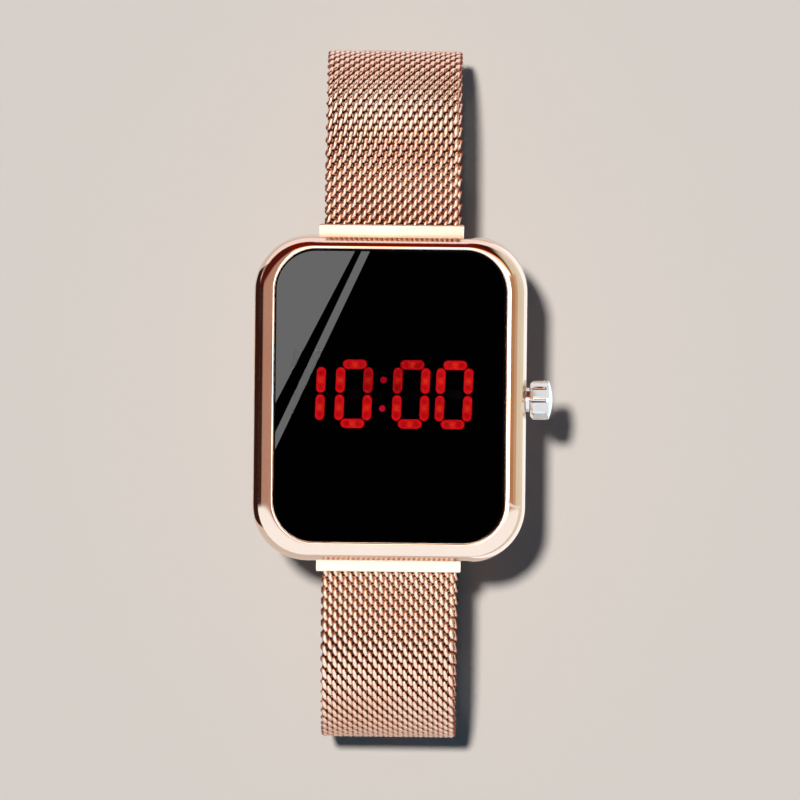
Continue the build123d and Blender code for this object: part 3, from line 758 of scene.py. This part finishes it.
@dataclass
class Crown:
    """The fluted push crown."""

    start_x: float = 19.45
    side_end: float = 22.05
    dome: float = 0.48
    radius: float = 2.7
    chamfer: float = 0.4
    z: float = 31.15
    grooves: int = 9
    groove_radius: float = 0.25
    groove_depth: float = 0.32
    groove_end: float = 0.25
    recess: tuple[float, float] = (1.95, 1.3)
    bore: tuple[float, float] = (0.75, 0.85)
    edge_round: float = 0.12
    around: int = 180
    chamfer_steps: int = 4
    groove_steps: int = 6
    edge_steps: int = 4
    dome_steps: int = 10

    def groove_cut(self, turn: float) -> float:
        """Gives how deep the nearest groove cuts at one angle.

        Args:
            turn: The angle in radians, from the top.

        Returns:
            The depth below the full radius, in millimetres.
        """
        pitch = 2 * math.pi / self.grooves
        off = (turn + pitch / 2) % pitch - pitch / 2
        ring = self.radius + self.groove_radius - self.groove_depth
        inside = self.groove_radius**2 - (ring * math.sin(off)) ** 2
        if inside <= 0:
            return 0.0
        return max(0.0, self.radius - (ring * math.cos(off) - math.sqrt(inside)))

    def stations(self) -> list[tuple[float, float, float]]:
        """Lists the crown's outline, from the socket to the dome.

        Returns:
            Place along X, radius and share of the groove's depth, each in order.
        """
        recess_radius, recess_depth = self.recess
        bore_radius, bore_depth = self.bore
        floor = self.start_x + recess_depth
        stations = [
            (floor + bore_depth, 0.0, 0.0),
            (floor + bore_depth, bore_radius, 0.0),
            (floor, bore_radius, 0.0),
            (floor, recess_radius, 0.0),
            (self.start_x, recess_radius, 0.0),
            (self.start_x, self.radius - self.chamfer, 0.0),
        ]
        for step in range(self.chamfer_steps + 1):
            share = step / self.chamfer_steps
            radius = self.radius - self.chamfer * (1 - share)
            stations.append((self.start_x + self.chamfer * share, radius, share))
        run_out = self.side_end - self.groove_depth - self.groove_end
        for step in range(self.groove_steps + 1):
            share = step / self.groove_steps
            stations.append((run_out + self.groove_end * share, self.radius, 1 - share**2))
        for out, up in quarter(self.edge_steps, 1):
            x = self.side_end - self.edge_round * (1 - up)
            stations.append((x, self.radius - self.edge_round * (1 - out), 0.0))
        big = (self.radius**2 + self.dome**2) / (2 * self.dome)
        low = math.asin((self.radius - self.edge_round) / big)
        lift = big * math.cos(low)
        for step in range(1, self.dome_steps + 1):
            turn = low * (1 - step / self.dome_steps)
            rise = (big * math.cos(turn) - lift) * self.dome / (big - lift)
            stations.append((self.side_end + rise, big * math.sin(turn), 0.0))
        return stations

    def build(self, library: Library) -> None:
        """Builds the crown and puts it in its place.

        Args:
            library: Where finishes come from.
        """
        points, stations = [], self.stations()
        for x, radius, share in stations:
            for index in range(self.around):
                turn = 2 * math.pi * index / self.around
                here = radius - share * self.groove_cut(turn)
                points.append(Vector((x, here * math.sin(turn), self.z + here * math.cos(turn))))
        mesh = mesh_of("crown", points, quads(len(stations), self.around))
        made = piece("fluted_crown", mesh, library.get(Metals.CHROME), 25)
        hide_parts("crown")
        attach(made, "crown_set")


@dataclass
class Display:
    """The lit bars of the digits and the colon."""

    middle_y: float = 0.65
    floor_z: float = 32.6
    top_z: float = 33.5
    bar_width: float = 1.27
    side_bar: float = 3.55
    cap_bar: float = 3.3
    half_width: float = 1.92
    half_height: float = 4.1
    offset: float = 1.9
    lean: float = 2.0
    colon_dot: float = 0.88
    colon_offset: float = 1.98
    edge_round: float = 0.06
    end_steps: int = 14
    no_chip: float = 9.0
    columns: dict[str, float] = field(
        default_factory=lambda: {
            "led_hour_tens": -9.6,
            "led_hour_units": -5.0,
            "led_colon": -0.95,
            "led_minute_tens": 2.95,
            "led_minute_units": 8.9,
        }
    )

    def bars(self, node: str) -> list[tuple[float, float, float, float]]:
        """Lists a digit's lit bars.

        Args:
            node: The CAD node that the digit stands for.

        Returns:
            Offset in X and Y from the digit's middle, length, and turn in degrees.
        """
        if node == "led_colon":
            return [(0, y, self.colon_dot, 0.0) for y in (-self.colon_offset, self.colon_offset)]
        upright = 90 - self.lean
        if node == "led_hour_tens":
            return [(0, y, self.side_bar, upright) for y in (-self.offset, self.offset)]
        bars = [(0, y, self.cap_bar, 0.0) for y in (-self.half_height, self.half_height)]
        for x in (-self.half_width, self.half_width):
            bars += [(x, y, self.side_bar, upright) for y in (-self.offset, self.offset)]
        return bars

    def finish(self, node: str) -> LitDiffuser:
        """Picks the diffuser: the colon's small dots are a deeper red.

        Args:
            node: The CAD node.

        Returns:
            Its finish.
        """
        if node == "led_colon":
            return LitDiffuser("lit_crimson_diffuser", "#D80C32", "#D80C32", "#D80C32")
        return LitDiffuser()

    def bar(self, length: float, width: float) -> tuple[list[tuple], list[tuple]]:
        """Shapes one round-ended bar about its own middle.

        Args:
            length: Its length over its round ends.
            width: Its width.

        Returns:
            Its corners in three rows, and for its finish, how far each is along and across
            and how far out the lights sit.
        """
        chip = length / 4 if length > width else self.no_chip
        rows = ((self.floor_z, 0.0), (self.top_z - self.edge_round, 0.0))
        corners, places = [], []
        for z, inset in (*rows, (self.top_z, self.edge_round)):
            radius = width / 2 - inset
            for side in (1, -1):
                for step in range(self.end_steps + 1):
                    angle = math.radians(-90 + 180 * step / self.end_steps)
                    x = side * ((length - width) / 2 + radius * math.cos(angle))
                    y = side * radius * math.sin(angle)
                    corners.append((x, y, z))
                    places.append((x, y, chip))
        return corners, places

    def build(self, library: Library) -> None:
        """Builds one piece for each digit.

        Args:
            library: Where finishes come from.
        """
        lean = math.tan(math.radians(self.lean))
        count = 2 * (self.end_steps + 1)
        for node, column in self.columns.items():
            points, faces, places = [], [], []
            for x, y, length, turn in self.bars(node):
                corners, own = self.bar(length, min(self.bar_width, length))
                middle = Vector((column + x + lean * y, self.middle_y + y, 0))
                spin = Matrix.Rotation(math.radians(turn), 3, "Z")
                first = len(points)
                faces += quads(3, count, first)
                faces.append(tuple(first + at for at in reversed(range(count))))
                faces.append(tuple(first + 2 * count + at for at in range(count)))
                for across, up, z in corners:
                    points.append(middle + spin @ Vector((across, up, 0)) + Vector((0, 0, z)))
                places += own
            mesh = bpy.data.meshes.new(node)
            mesh.from_pydata([tuple(point * MM) for point in points], [], faces)
            marks = mesh.attributes.new("bar_place", "FLOAT_VECTOR", "POINT")
            for at, place in enumerate(places):
                marks.data[at].vector = place
            made = piece(node.replace("led_", "lit_"), mesh, library.get(self.finish(node)))
            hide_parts(node)
            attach(made, "case")


class Lean(Enum):
    """Which way the strap's turns lean, seen from above."""

    RIGHT = -1.0
    LEFT = 1.0


@dataclass
class WeaveTree:
    """The node tree that weaves flattened wire spirals along a route."""

    wire_radius: float = 0.36
    half_reach: float = 0.72
    half_height: float = 0.24
    pitch: float = 1.4
    turns: int = 13
    steps: int = 10
    sides: int = 8
    sway: float = 0.3

    def tree(self, material: bpy.types.Material) -> bpy.types.NodeTree:
        """Builds the tree, with its sizes as named inputs.

        Args:
            material: The wire's material.

        Returns:
            The node tree.
        """
        tree = bpy.data.node_groups.new("woven_strap", "GeometryNodeTree")
        kinds = {"Route": "Geometry", "First row": "Int", "Turns": "Int"}
        kinds |= dict.fromkeys(
            ("Wire radius", "Half reach", "Half height", "Pitch", "Sway"), "Float"
        )
        for name, kind in kinds.items():
            tree.interface.new_socket(name, in_out="INPUT", socket_type=f"NodeSocket{kind}")
        tree.interface.new_socket("Weave", in_out="OUTPUT", socket_type="NodeSocketGeometry")
        graph = Graph(tree)
        given = graph.node("NodeGroupInput").outputs
        wire = self.wire(graph, given)
        route = graph.node("GeometryNodeMeshToCurve", {"Mesh": given["Route"]}).outputs["Curve"]
        rows = graph.node("GeometryNodeCurveToPoints", {"Curve": route}, mode="EVALUATED").outputs
        facing = graph.node(
            "FunctionNodeAlignRotationToVector",
            {"Vector": rows["Tangent"]},
            axis="Y",
            pivot_axis="X",
        ).outputs["Rotation"]
        placed = graph.node(
            "GeometryNodeInstanceOnPoints",
            {"Points": rows["Points"], "Instance": wire, "Rotation": facing},
        ).outputs["Instances"]
        index = graph.node("GeometryNodeInputIndex").outputs[0]
        odd = graph.sum("MODULO", graph.sum("ADD", index, given["First row"]), 2.0)
        half_turn = {"Rotation": (math.pi, 0.0, 0.0), "Local Space": True}
        turned = graph.node(
            "GeometryNodeRotateInstances", {"Instances": placed, "Selection": odd, **half_turn}
        ).outputs["Instances"]
        whole = graph.node("GeometryNodeRealizeInstances", {"Geometry": turned}).outputs[0]
        dressed = graph.node(
            "GeometryNodeSetMaterial", {"Material": material, "Geometry": whole}
        ).outputs["Geometry"]
        graph.node("NodeGroupOutput", {"Weave": dressed})
        return tree

    def wire(self, graph: Graph, given: bpy.types.bpy_prop_collection) -> Socket:
        """Adds one row's wire: a spiral along X, flattened, that dwells at its ends.

        Args:
            graph: The weave's graph.
            given: The tree's inputs.

        Returns:
            The wire's mesh.
        """
        sum_of, turns = graph.sum, given["Turns"]
        count = sum_of("ADD", sum_of("MULTIPLY", turns, self.steps), 1)
        line = graph.node("GeometryNodeCurvePrimitiveLine", {"End": (1.0, 0.0, 0.0)}).outputs[0]
        points = graph.node("GeometryNodeResampleCurve", {"Curve": line, "Count": count})
        share = graph.node("GeometryNodeSplineParameter").outputs["Factor"]
        turn = sum_of("MULTIPLY", sum_of("MULTIPLY", share, turns), 2 * math.pi)
        dwell = sum_of("MULTIPLY", sum_of("SINE", sum_of("MULTIPLY", turn, 2)), given["Sway"])
        half_length = sum_of("MULTIPLY", sum_of("MULTIPLY", given["Pitch"], turns), 0.5)
        per_turn = sum_of("DIVIDE", given["Pitch"], 2 * math.pi)
        advance = sum_of("MULTIPLY", sum_of("ADD", turn, dwell), per_turn)
        place = graph.node(
            "ShaderNodeCombineXYZ",
            {
                "X": sum_of("SUBTRACT", advance, half_length),
                "Y": sum_of("MULTIPLY", sum_of("COSINE", turn), given["Half reach"]),
                "Z": sum_of("MULTIPLY", sum_of("SINE", turn), given["Half height"]),
            },
        ).outputs[0]
        bent = graph.node(
            "GeometryNodeSetPosition", {"Geometry": points.outputs["Curve"], "Position": place}
        ).outputs["Geometry"]
        outline = graph.node(
            "GeometryNodeCurvePrimitiveCircle",
            {"Resolution": self.sides, "Radius": given["Wire radius"]},
        ).outputs["Curve"]
        solid = graph.node(
            "GeometryNodeCurveToMesh",
            {"Fill Caps": True, "Curve": bent, "Profile Curve": outline},
        ).outputs["Mesh"]
        spot = graph.node("GeometryNodeInputPosition").outputs["Position"]
        height = graph.node("ShaderNodeSeparateXYZ", {0: spot}).outputs["Z"]
        crest = sum_of("ADD", given["Half height"], given["Wire radius"])
        level = sum_of("DIVIDE", sum_of("ABSOLUTE", height), crest)
        # Each point's height in the weave, which the wire's material uses to paint shade on the low
        # parts.
        marked = graph.node(
            "GeometryNodeStoreNamedAttribute",
            {"Name": "height", "Geometry": solid, "Value": level},
        )
        return marked.outputs["Geometry"]


@dataclass
class Stretch:
    """One piece of woven strap, up to a distance along its half's route, in millimetres."""

    name: str
    until: float
    replaces: tuple[str, ...]
    bodies: tuple[str, ...]
    blend: tuple[tuple[float, float, float], tuple[float, float, float]]


@dataclass
class StrapHalf:
    """One half of the woven strap, from its end piece down the loop."""

    side: int
    lean: Lean
    loose_spacing: float
    stretches: list[Stretch]
    spacing: float = 0.765
    loosens: tuple[float, float] = (6.7, 10.7)
    start_y: float = 23.3
    top_z: float = 30.3
    arch_y: float = 33.9
    arch_radius: float = 13.5
    fold_y: float = 8.0
    fold_radius: float = 1.35
    weave: WeaveTree = field(default_factory=WeaveTree)

    def at(self, distance: float) -> Vector:
        """Gives the point of the centre line at a distance from its start.

        Args:
            distance: How far along, in millimetres.

        Returns:
            The point, in millimetres.
        """
        low_z = self.top_z - 2 * self.arch_radius
        bend = distance - (self.arch_y - self.start_y)
        run = bend - math.pi * self.arch_radius
        fold = run - (self.arch_y + self.fold_y)
        flap = fold - math.pi * self.fold_radius
        if bend <= 0:
            y, z = self.arch_y + bend, self.top_z
        elif run <= 0:
            turn = bend / self.arch_radius
            y = self.arch_y + self.arch_radius * math.sin(turn)
            z = self.top_z - self.arch_radius * (1 - math.cos(turn))
        elif fold <= 0:
            y, z = self.arch_y - run, low_z
        elif flap <= 0:
            turn = fold / self.fold_radius
            y = -self.fold_y - self.fold_radius * math.sin(turn)
            z = low_z - self.fold_radius * (1 - math.cos(turn))
        else:
            y, z = flap - self.fold_y, low_z - 2 * self.fold_radius
        return Vector((0, self.side * y, z))

    def rows(self) -> list[float]:
        """Spaces the rows along the route: close at the case, and looser once it bends.

        Returns:
            Each row's distance along the route.
        """
        low, high = self.loosens
        places = [0.0]
        while places[-1] < self.stretches[-1].until:
            share = max(0.0, min(1.0, (places[-1] - low) / (high - low)))
            ease = share * share * (3 - 2 * share)
            places.append(places[-1] + self.spacing + (self.loose_spacing - self.spacing) * ease)
        return places[:-1]

    def sizes(self, first_row: int) -> dict[str, float]:
        """Gives the weave's sizes in metres.

        Args:
            first_row: The number of the stretch's first row.

        Returns:
            The tree's input names and their values.
        """
        weave = self.weave
        return {
            "First row": first_row,
            "Turns": weave.turns,
            "Wire radius": weave.wire_radius * MM,
            "Half reach": self.lean.value * weave.half_reach * MM,
            "Half height": weave.half_height * MM,
            "Pitch": weave.pitch * MM,
            "Sway": weave.sway,
        }

    def build(self, library: Library) -> None:
        """Weaves each stretch and puts it in its place.

        Args:
            library: Where finishes come from.
        """
        tree = self.weave.tree(library.get(Metals.DRAWN_WIRE))
        names = {item.name: item.identifier for item in tree.interface.items_tree}
        rows = self.rows()
        first, reached = 0, 0.0
        for stretch in self.stretches:
            own = [place for place in rows if reached <= place < stretch.until]
            mesh = bpy.data.meshes.new("route")
            edges = [(at, at + 1) for at in range(len(own) - 1)]
            mesh.from_pydata([tuple(self.at(place) * MM) for place in own], edges, [])
            host = linked("route", mesh)
            weaver = host.modifiers.new("weave", "NODES")
            weaver.node_group = tree
            for name, value in self.sizes(first).items():
                weaver[names[name]] = value
            woven = plain_mesh(host)
            made = piece(stretch.name, woven, library.get(Metals.DRAWN_WIRE), 60)
            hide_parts(*stretch.replaces)
            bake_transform(made)
            first += len(own)
            reached = stretch.until


def strap_halves() -> list[StrapHalf]:
    """Lists the strap's two halves with their stretches.

    Returns:
        The half at 12 o'clock and the half at 6 o'clock.
    """
    arch_until, arch_y, arch_z = 42.8, 47.4, (19.3, 14.3)
    tail_y, tail_z = (36.4, 31.4), 3.3
    plan = ((12, 1, Lean.RIGHT, 0.9, 74.1), (6, -1, Lean.LEFT, 0.85, 99.2))
    halves = []
    for hour, side, lean, loose_spacing, tail_until in plan:
        bodies = tuple(f"strap_{hour}_{part}" for part in ("upper", "lower", "tail"))
        nodes = tuple(f"mesh_{hour}_{part}" for part in ("upper", "lower", "tail"))
        bend = tuple((0, side * arch_y, z) for z in arch_z)
        tuck = tuple((0, side * y, tail_z) for y in tail_y)
        arch = Stretch(f"weave_{hour}_arch", arch_until, nodes[:1], bodies[:2], bend)
        tail = Stretch(f"weave_{hour}_tail", tail_until, nodes[1:], bodies[1:], tuck)
        halves.append(StrapHalf(side, lean, loose_spacing, [arch, tail]))
    fold = ((0, 9.35, 0.6), (0, 5.5, 0.6))
    bodies = ("strap_6_tail", "strap_6_flap")
    halves[1].stretches.append(Stretch("weave_6_flap", 123.0, ("mesh_6_flap",), bodies, fold))
    return halves


class Dressing:
    """Gives the CAD nodes that stay their finishes."""

    bar_parts = ("12_tube", "12_tips", "12_coil", "6_tube", "6_tips", "6_coil")
    bars = tuple(f"spring_bar_{part}" for part in bar_parts)
    turned = ("board_screws", "crystal_can", "rear_screws", "crown_spring", "crown_stem")
    finishes: dict[Enum | PrintedGlass, tuple[str, ...]] = {
        PrintedGlass(): ("lens",),
        Others.SEAL_RUBBER: ("lens_gasket", "rear_gasket", "crown_gasket"),
        Others.SMOKE_FILM: ("display_filter",),
        Others.SPRAYED_MASK: ("display_mask",),
        Others.UNLIT_DIFFUSER: ("led_unlit_bars",),
        Others.SOLDER_MASK: ("led_board",),
        Others.CHIP_EPOXY: ("controller_chip", "board_resistors"),
        Others.MOULDED_BLACK: ("switch_body", "switch_plunger", "module_frame", "stem_pad"),
        Others.COATED_MAGNET: ("clasp_magnet",),
        Metals.STEEL: (*turned, "stem_clip", *bars),
        Metals.NICKEL: ("battery",),
        Metals.SPRING_BRONZE: ("battery_contact", "battery_clip"),
        Metals.BRUSHED_ROSE: ("rear_cover",),
        Metals.CHROME: ("crown_tube",),
        Metals.TUMBLED_ROSE: ("end_piece_12", "end_piece_6"),
        Metals.POLISHED_ROSE: ("clasp_ring", "magnet_tip"),
    }

    def dress(self, library: Library) -> None:
        """Assigns each finish to its nodes' material slots.

        Args:
            library: Where finishes come from.
        """
        for finish, nodes in self.finishes.items():
            for node in nodes:
                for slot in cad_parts[node].material_slots:
                    slot.material = library.get(finish)
                log.info("%s: %s", node, library.get(finish).name)


@dataclass(frozen=True)
class LevelCard:
    """A level card: its reach along X and Y and its height in metres, its colour and light."""

    name: str
    x_reach: tuple[float, float]
    y_reach: tuple[float, float]
    height: float
    colour: str
    light: float

    def corners(self) -> list[tuple[float, float, float]]:
        """Gives the card's corners, its face upwards.

        Returns:
            The corners in metres.
        """
        (left, right), (below, above) = self.x_reach, self.y_reach
        square = ((left, below), (right, below), (right, above), (left, above))
        return [(x, y, self.height) for x, y in square]


@dataclass
class Studio:
    """The pale floor, the soft light, the cards that the watch mirrors, and the camera."""

    floor_colour: str = "#DBD4CE"
    floor_half: float = 3.0
    floor_z: float = -0.00003
    picture: float = 800.0
    sensor: float = 36.0
    scale: float = 7.225
    middle: tuple[float, float] = (389.5, 399.5)
    distance: float = 2000.0
    yaw: float = 1.1
    pitch: float = 2.5
    roll: float = -0.6
    target_z: float = 34.5
    glass_z: float = 35.7
    card_height: float = 600.0
    lamp_energy: float = 3.0
    lamp_colour: tuple[float, float, float] = (1.0, 0.964, 0.926)
    lamp_degrees: float = 3.5
    shadow_lean: tuple[float, float] = (0.088, -0.158)
    fill: tuple[str, float] = ("#58C4F8", 0.085)
    backdrop: str = "#D8D0CA"
    dark_spot: tuple[float, float, float] = (-0.019, -0.044, 0.9989)
    spot_edge: tuple[float, float] = (0.9972, 0.9982)
    dome_strength: float = 2.0

    def aim(self) -> Matrix:
        """Gives the camera's turn from straight down.

        Returns:
            The turn.
        """
        turn = Matrix.Rotation(math.radians(self.yaw), 3, "Y")
        turn @= Matrix.Rotation(math.radians(-self.pitch), 3, "X")
        return turn @ Matrix.Rotation(math.radians(-self.roll), 3, "Z")

    def camera_place(self) -> Vector:
        """Gives the camera's place, over the point at the picture's middle.

        Returns:
            The place in millimetres.
        """
        half = self.picture / 2
        x, y = (half - self.middle[0]) / self.scale, (self.middle[1] - half) / self.scale
        return Vector((x, y, self.target_z)) + self.distance * (self.aim() @ Vector((0, 0, 1)))

    def camera(self) -> None:
        """Makes the camera: nearly straight down through a very long lens."""
        data = bpy.data.cameras.new("camera")
        data.sensor_width = self.sensor
        data.lens = self.sensor * self.distance / (self.picture / self.scale)
        data.clip_end = 50
        made = linked("camera", data)
        made.location = self.camera_place() * MM
        made.rotation_euler = self.aim().to_euler()
        bpy.context.scene.camera = made

    def flat(
        self, name: str, corners: list[tuple[float, float, float]], material: bpy.types.Material
    ) -> bpy.types.Object:
        """Lays one flat sheet that belongs to the studio.

        Args:
            name: The sheet's name.
            corners: Its corners in metres.
            material: Its material.

        Returns:
            The sheet.
        """
        mesh = bpy.data.meshes.new(name)
        mesh.from_pydata(corners, [], [tuple(range(len(corners)))])
        mesh.materials.append(material)
        made = linked(name, mesh)
        return made

    def floor(self) -> None:
        """Makes the plain pale floor."""
        material, graph = new_material("painted_table")
        graph.surface(graph.node("ShaderNodeBsdfDiffuse", {"Color": linear(self.floor_colour)}))
        size, z = self.floor_half, self.floor_z
        corners = [(-size, -size, z), (size, -size, z), (size, size, z), (-size, size, z)]
        self.flat("floor", corners, material)

    def on_card(self, x: float, y: float) -> tuple[float, float, float]:
        """Gives the point on the high cards' plane that the glass shows at one place.

        Args:
            x: The place on the glass, in millimetres.
            y: The same.

        Returns:
            The point in metres.
        """
        eye = self.camera_place()
        share = self.card_height / (eye.z - self.glass_z)
        return (
            (x + (x - eye.x) * share) * MM,
            (y + (y - eye.y) * share) * MM,
            (self.glass_z + self.card_height) * MM,
        )

    def sheet(
        self,
        name: str,
        corners: list[tuple[float, float, float]],
        colour: str,
        strength: float,
        back: bool = True,
    ) -> None:
        """Hangs a flat card that only shiny surfaces see.

        Args:
            name: The card's name.
            corners: Its corners in metres.
            colour: The colour it shows.
            strength: How bright it is, where 1 shows the colour as written.
            back: Whether its back shows as well.
        """
        material, graph = new_material(name)
        terms = {"Color": linear(colour), "Strength": strength}
        shown = graph.node("ShaderNodeEmission", terms)
        if not back:
            clear = graph.node("ShaderNodeBsdfTransparent")
            turned = graph.node("ShaderNodeNewGeometry").outputs["Backfacing"]
            sides = {0: turned, 1: shown.outputs[0], 2: clear.outputs[0]}
            shown = graph.node("ShaderNodeMixShader", sides)
        graph.surface(shown)
        made = self.flat(name, corners, material)
        made.visible_camera = False
        made.visible_diffuse = False
        made.visible_shadow = False

    def cards(self) -> None:
        """Hangs the cards that glass, rim and crown mirror, and lays a dark one low."""
        # Two high cards give the grey shapes on the glass, in millimetres on the glass.
        wide = [(-4.8, 20.84), (-16.3, -1.69), (-16.3, 20.84)]
        strip = [(-3.92, 20.84), (-16.3, -5.91), (-16.3, -8.26), (-2.74, 20.84)]
        for name, outline in (("wide_card", wide), ("strip_card", strip)):
            self.sheet(name, [self.on_card(*point) for point in outline], "#FFFFFF", 2.83)
        # A dark wedge on the left gives the rim's outer slope its brown line.
        near, far = 0.045, 2.5
        rise = math.tan(math.radians(30))
        low = [(-far, far * rise), (-near, near * rise), (-near, -near * rise), (-far, -far * rise)]
        self.sheet("dark_card", [(x, y, MM) for x, y in low], "#341C16", 1.0)
        level = (
            # Beside the case: the right rim's white line, and its beige outer slope.
            LevelCard("white_card", (0.026, 0.085), (-0.5, 0.5), MM, "#E4EEF4", 1.45),
            LevelCard("beige_card", (0.085, far), (-0.15, 1.2), MM, "#E2EADC", 1.0),
            # Beyond the strap's far end: the top rim's pale outer slope.
            LevelCard("top_card", (-0.4, 0.4), (0.056, far), MM, "#F6F0F2", 1.1),
            # Over the strap: keeps the weave out of the top rim's middle.
            LevelCard("strap_card", (-0.011, 0.011), (0.04, 0.062), 0.037, "#FFFFFF", 1.7),
        )
        for card in level:
            self.sheet(card.name, card.corners(), card.colour, card.light)
        # Two upright cards, one each side of the crown, fill its flutes with pale light.
        upright = [(0.0196, 0.034), (0.025, 0.034), (0.025, 0.13), (0.0196, 0.13)]
        above, below = [[(x, y, z) for x, z in upright] for y in (0.015, -0.015)]
        for name, corners in (("upper_crown_card", above), ("lower_crown_card", below[::-1])):
            self.sheet(name, corners, "#F2F2F4", 1.05, back=False)

    def paint(self, graph: Graph, place: Socket, base: Term, *layers: tuple) -> Socket:
        """Lays fading layers of colour over a base.

        Args:
            graph: The world's graph.
            place: The direction looked at.
            base: The colour below.
            layers: For each, a direction, where along it the layer begins and is full, and
                its colour.

        Returns:
            The painted colour.
        """
        for direction, begin, full, colour in layers:
            reach = graph.measure("DOT_PRODUCT", place, direction)
            base = graph.blend(graph.spread(reach, (begin, full), smooth=True), base, colour)
        return base

    def dome(self, graph: Graph, place: Socket) -> Socket:
        """Paints what the shiny surfaces mirror: an overhead lamp, dark walls and pale ends.

        Args:
            graph: The world's graph.
            place: The direction looked at.

        Returns:
            The colour.
        """
        right, left = (1.0, 0.0, 0.0), (-1.0, 0.0, 0.0)
        away, near = (0.0, 1.0, 0.0), (0.0, -1.0, 0.0)
        lamp = tuple(2.9 * value for value in linear("#FFFFFF"))
        halo = tuple(2.2 * value for value in linear("#FFE2CA"))
        back = self.paint(
            graph, place, lamp,
            (away, 0.03, 0.08, halo),
            (away, 0.16, 0.3, "#DCA888"),
            (away, 0.4, 0.52, "#4E0C06"),
            ((0.9, 0.6, 0.0), 0.62, 0.78, "#2C0A04"),
            ((1.0, 0.35, 0.0), 0.72, 0.95, "#A3A697"),
        )
        side = self.paint(
            graph, place, lamp,
            (right, 0.3, 0.38, "#836648"),
            (right, 0.68, 0.74, "#947C68"),
            (right, 0.87, 0.93, "#A3A697"),
        )
        far = self.paint(
            graph, place, "#84695D",
            (left, 0.88, 0.93, "#23100D"),
            ((-0.482, 0.876, 0.0), 0.46, 0.6, "#3C100A"),
        )
        return self.paint(
            graph, place, back,
            ((1.0, -2.5, 0.0), -0.02, 0.12, side),
            ((-1.0, -0.5, 0.0), 0.02, 0.12, far),
            (near, 0.07, 0.16, "#BEC8CC"),
        )

    def world(self) -> None:
        """Makes the room: even for the eye and for matt surfaces, a lit dome for shiny ones."""
        world = bpy.data.worlds.new("studio")
        bpy.context.scene.world = world
        world.use_nodes = True
        world.node_tree.nodes.clear()
        graph = Graph(world.node_tree)
        place = graph.node("ShaderNodeTexCoord").outputs["Generated"]
        overhead = graph.measure("DOT_PRODUCT", place, self.dark_spot)
        above = graph.spread(overhead, self.spot_edge, (self.dome_strength, 0.0))

        def light(colour: Term, strength: Term) -> Socket:
            """Adds a light from all sides."""
            terms = {"Color": colour, "Strength": strength}
            return graph.node("ShaderNodeBackground", terms).outputs[0]

        mirror = light(self.dome(graph, place), above)
        even = light(linear(self.fill[0]), self.fill[1])
        seen = light(linear(self.backdrop), 1.0)
        path = graph.node("ShaderNodeLightPath").outputs
        glossy = (path["Is Glossy Ray"], path["Diffuse Depth"])
        straight = graph.sum("SUBTRACT", *glossy, use_clamp=True)
        lamps = graph.node("ShaderNodeMixShader", {0: straight, 1: even, 2: mirror}).outputs[0]
        sides = {0: path["Is Camera Ray"], 1: lamps, 2: seen}
        graph.surface(graph.node("ShaderNodeMixShader", sides), "World")

    def lamp(self) -> None:
        """Makes the lamp that lays the watch's shadow down and to the right."""
        data = bpy.data.lights.new("key_lamp", "SUN")
        data.energy = self.lamp_energy
        data.color = self.lamp_colour
        data.angle = math.radians(self.lamp_degrees)
        made = linked("key_lamp", data)
        lean = Vector((*self.shadow_lean, -1.0))
        made.rotation_euler = lean.to_track_quat("-Z", "Y").to_euler()
        made.location = -lean
        made.visible_glossy = False

    def build(self) -> None:
        """Sets up the whole studio."""
        self.camera()
        self.floor()
        self.cards()
        self.world()
        self.lamp()
        bpy.context.scene.view_settings.view_transform = "Standard"


def main() -> None:
    """Builds every sub-assembly in order."""
    logging.basicConfig(level=logging.INFO, format="%(message)s")
    library = Library()
    Case().build(library)
    Crown().build(library)
    Display().build(library)
    for half in strap_halves():
        half.build(library)
    Dressing().dress(library)
    Studio().build()


if __name__ == "__main__":
    main()
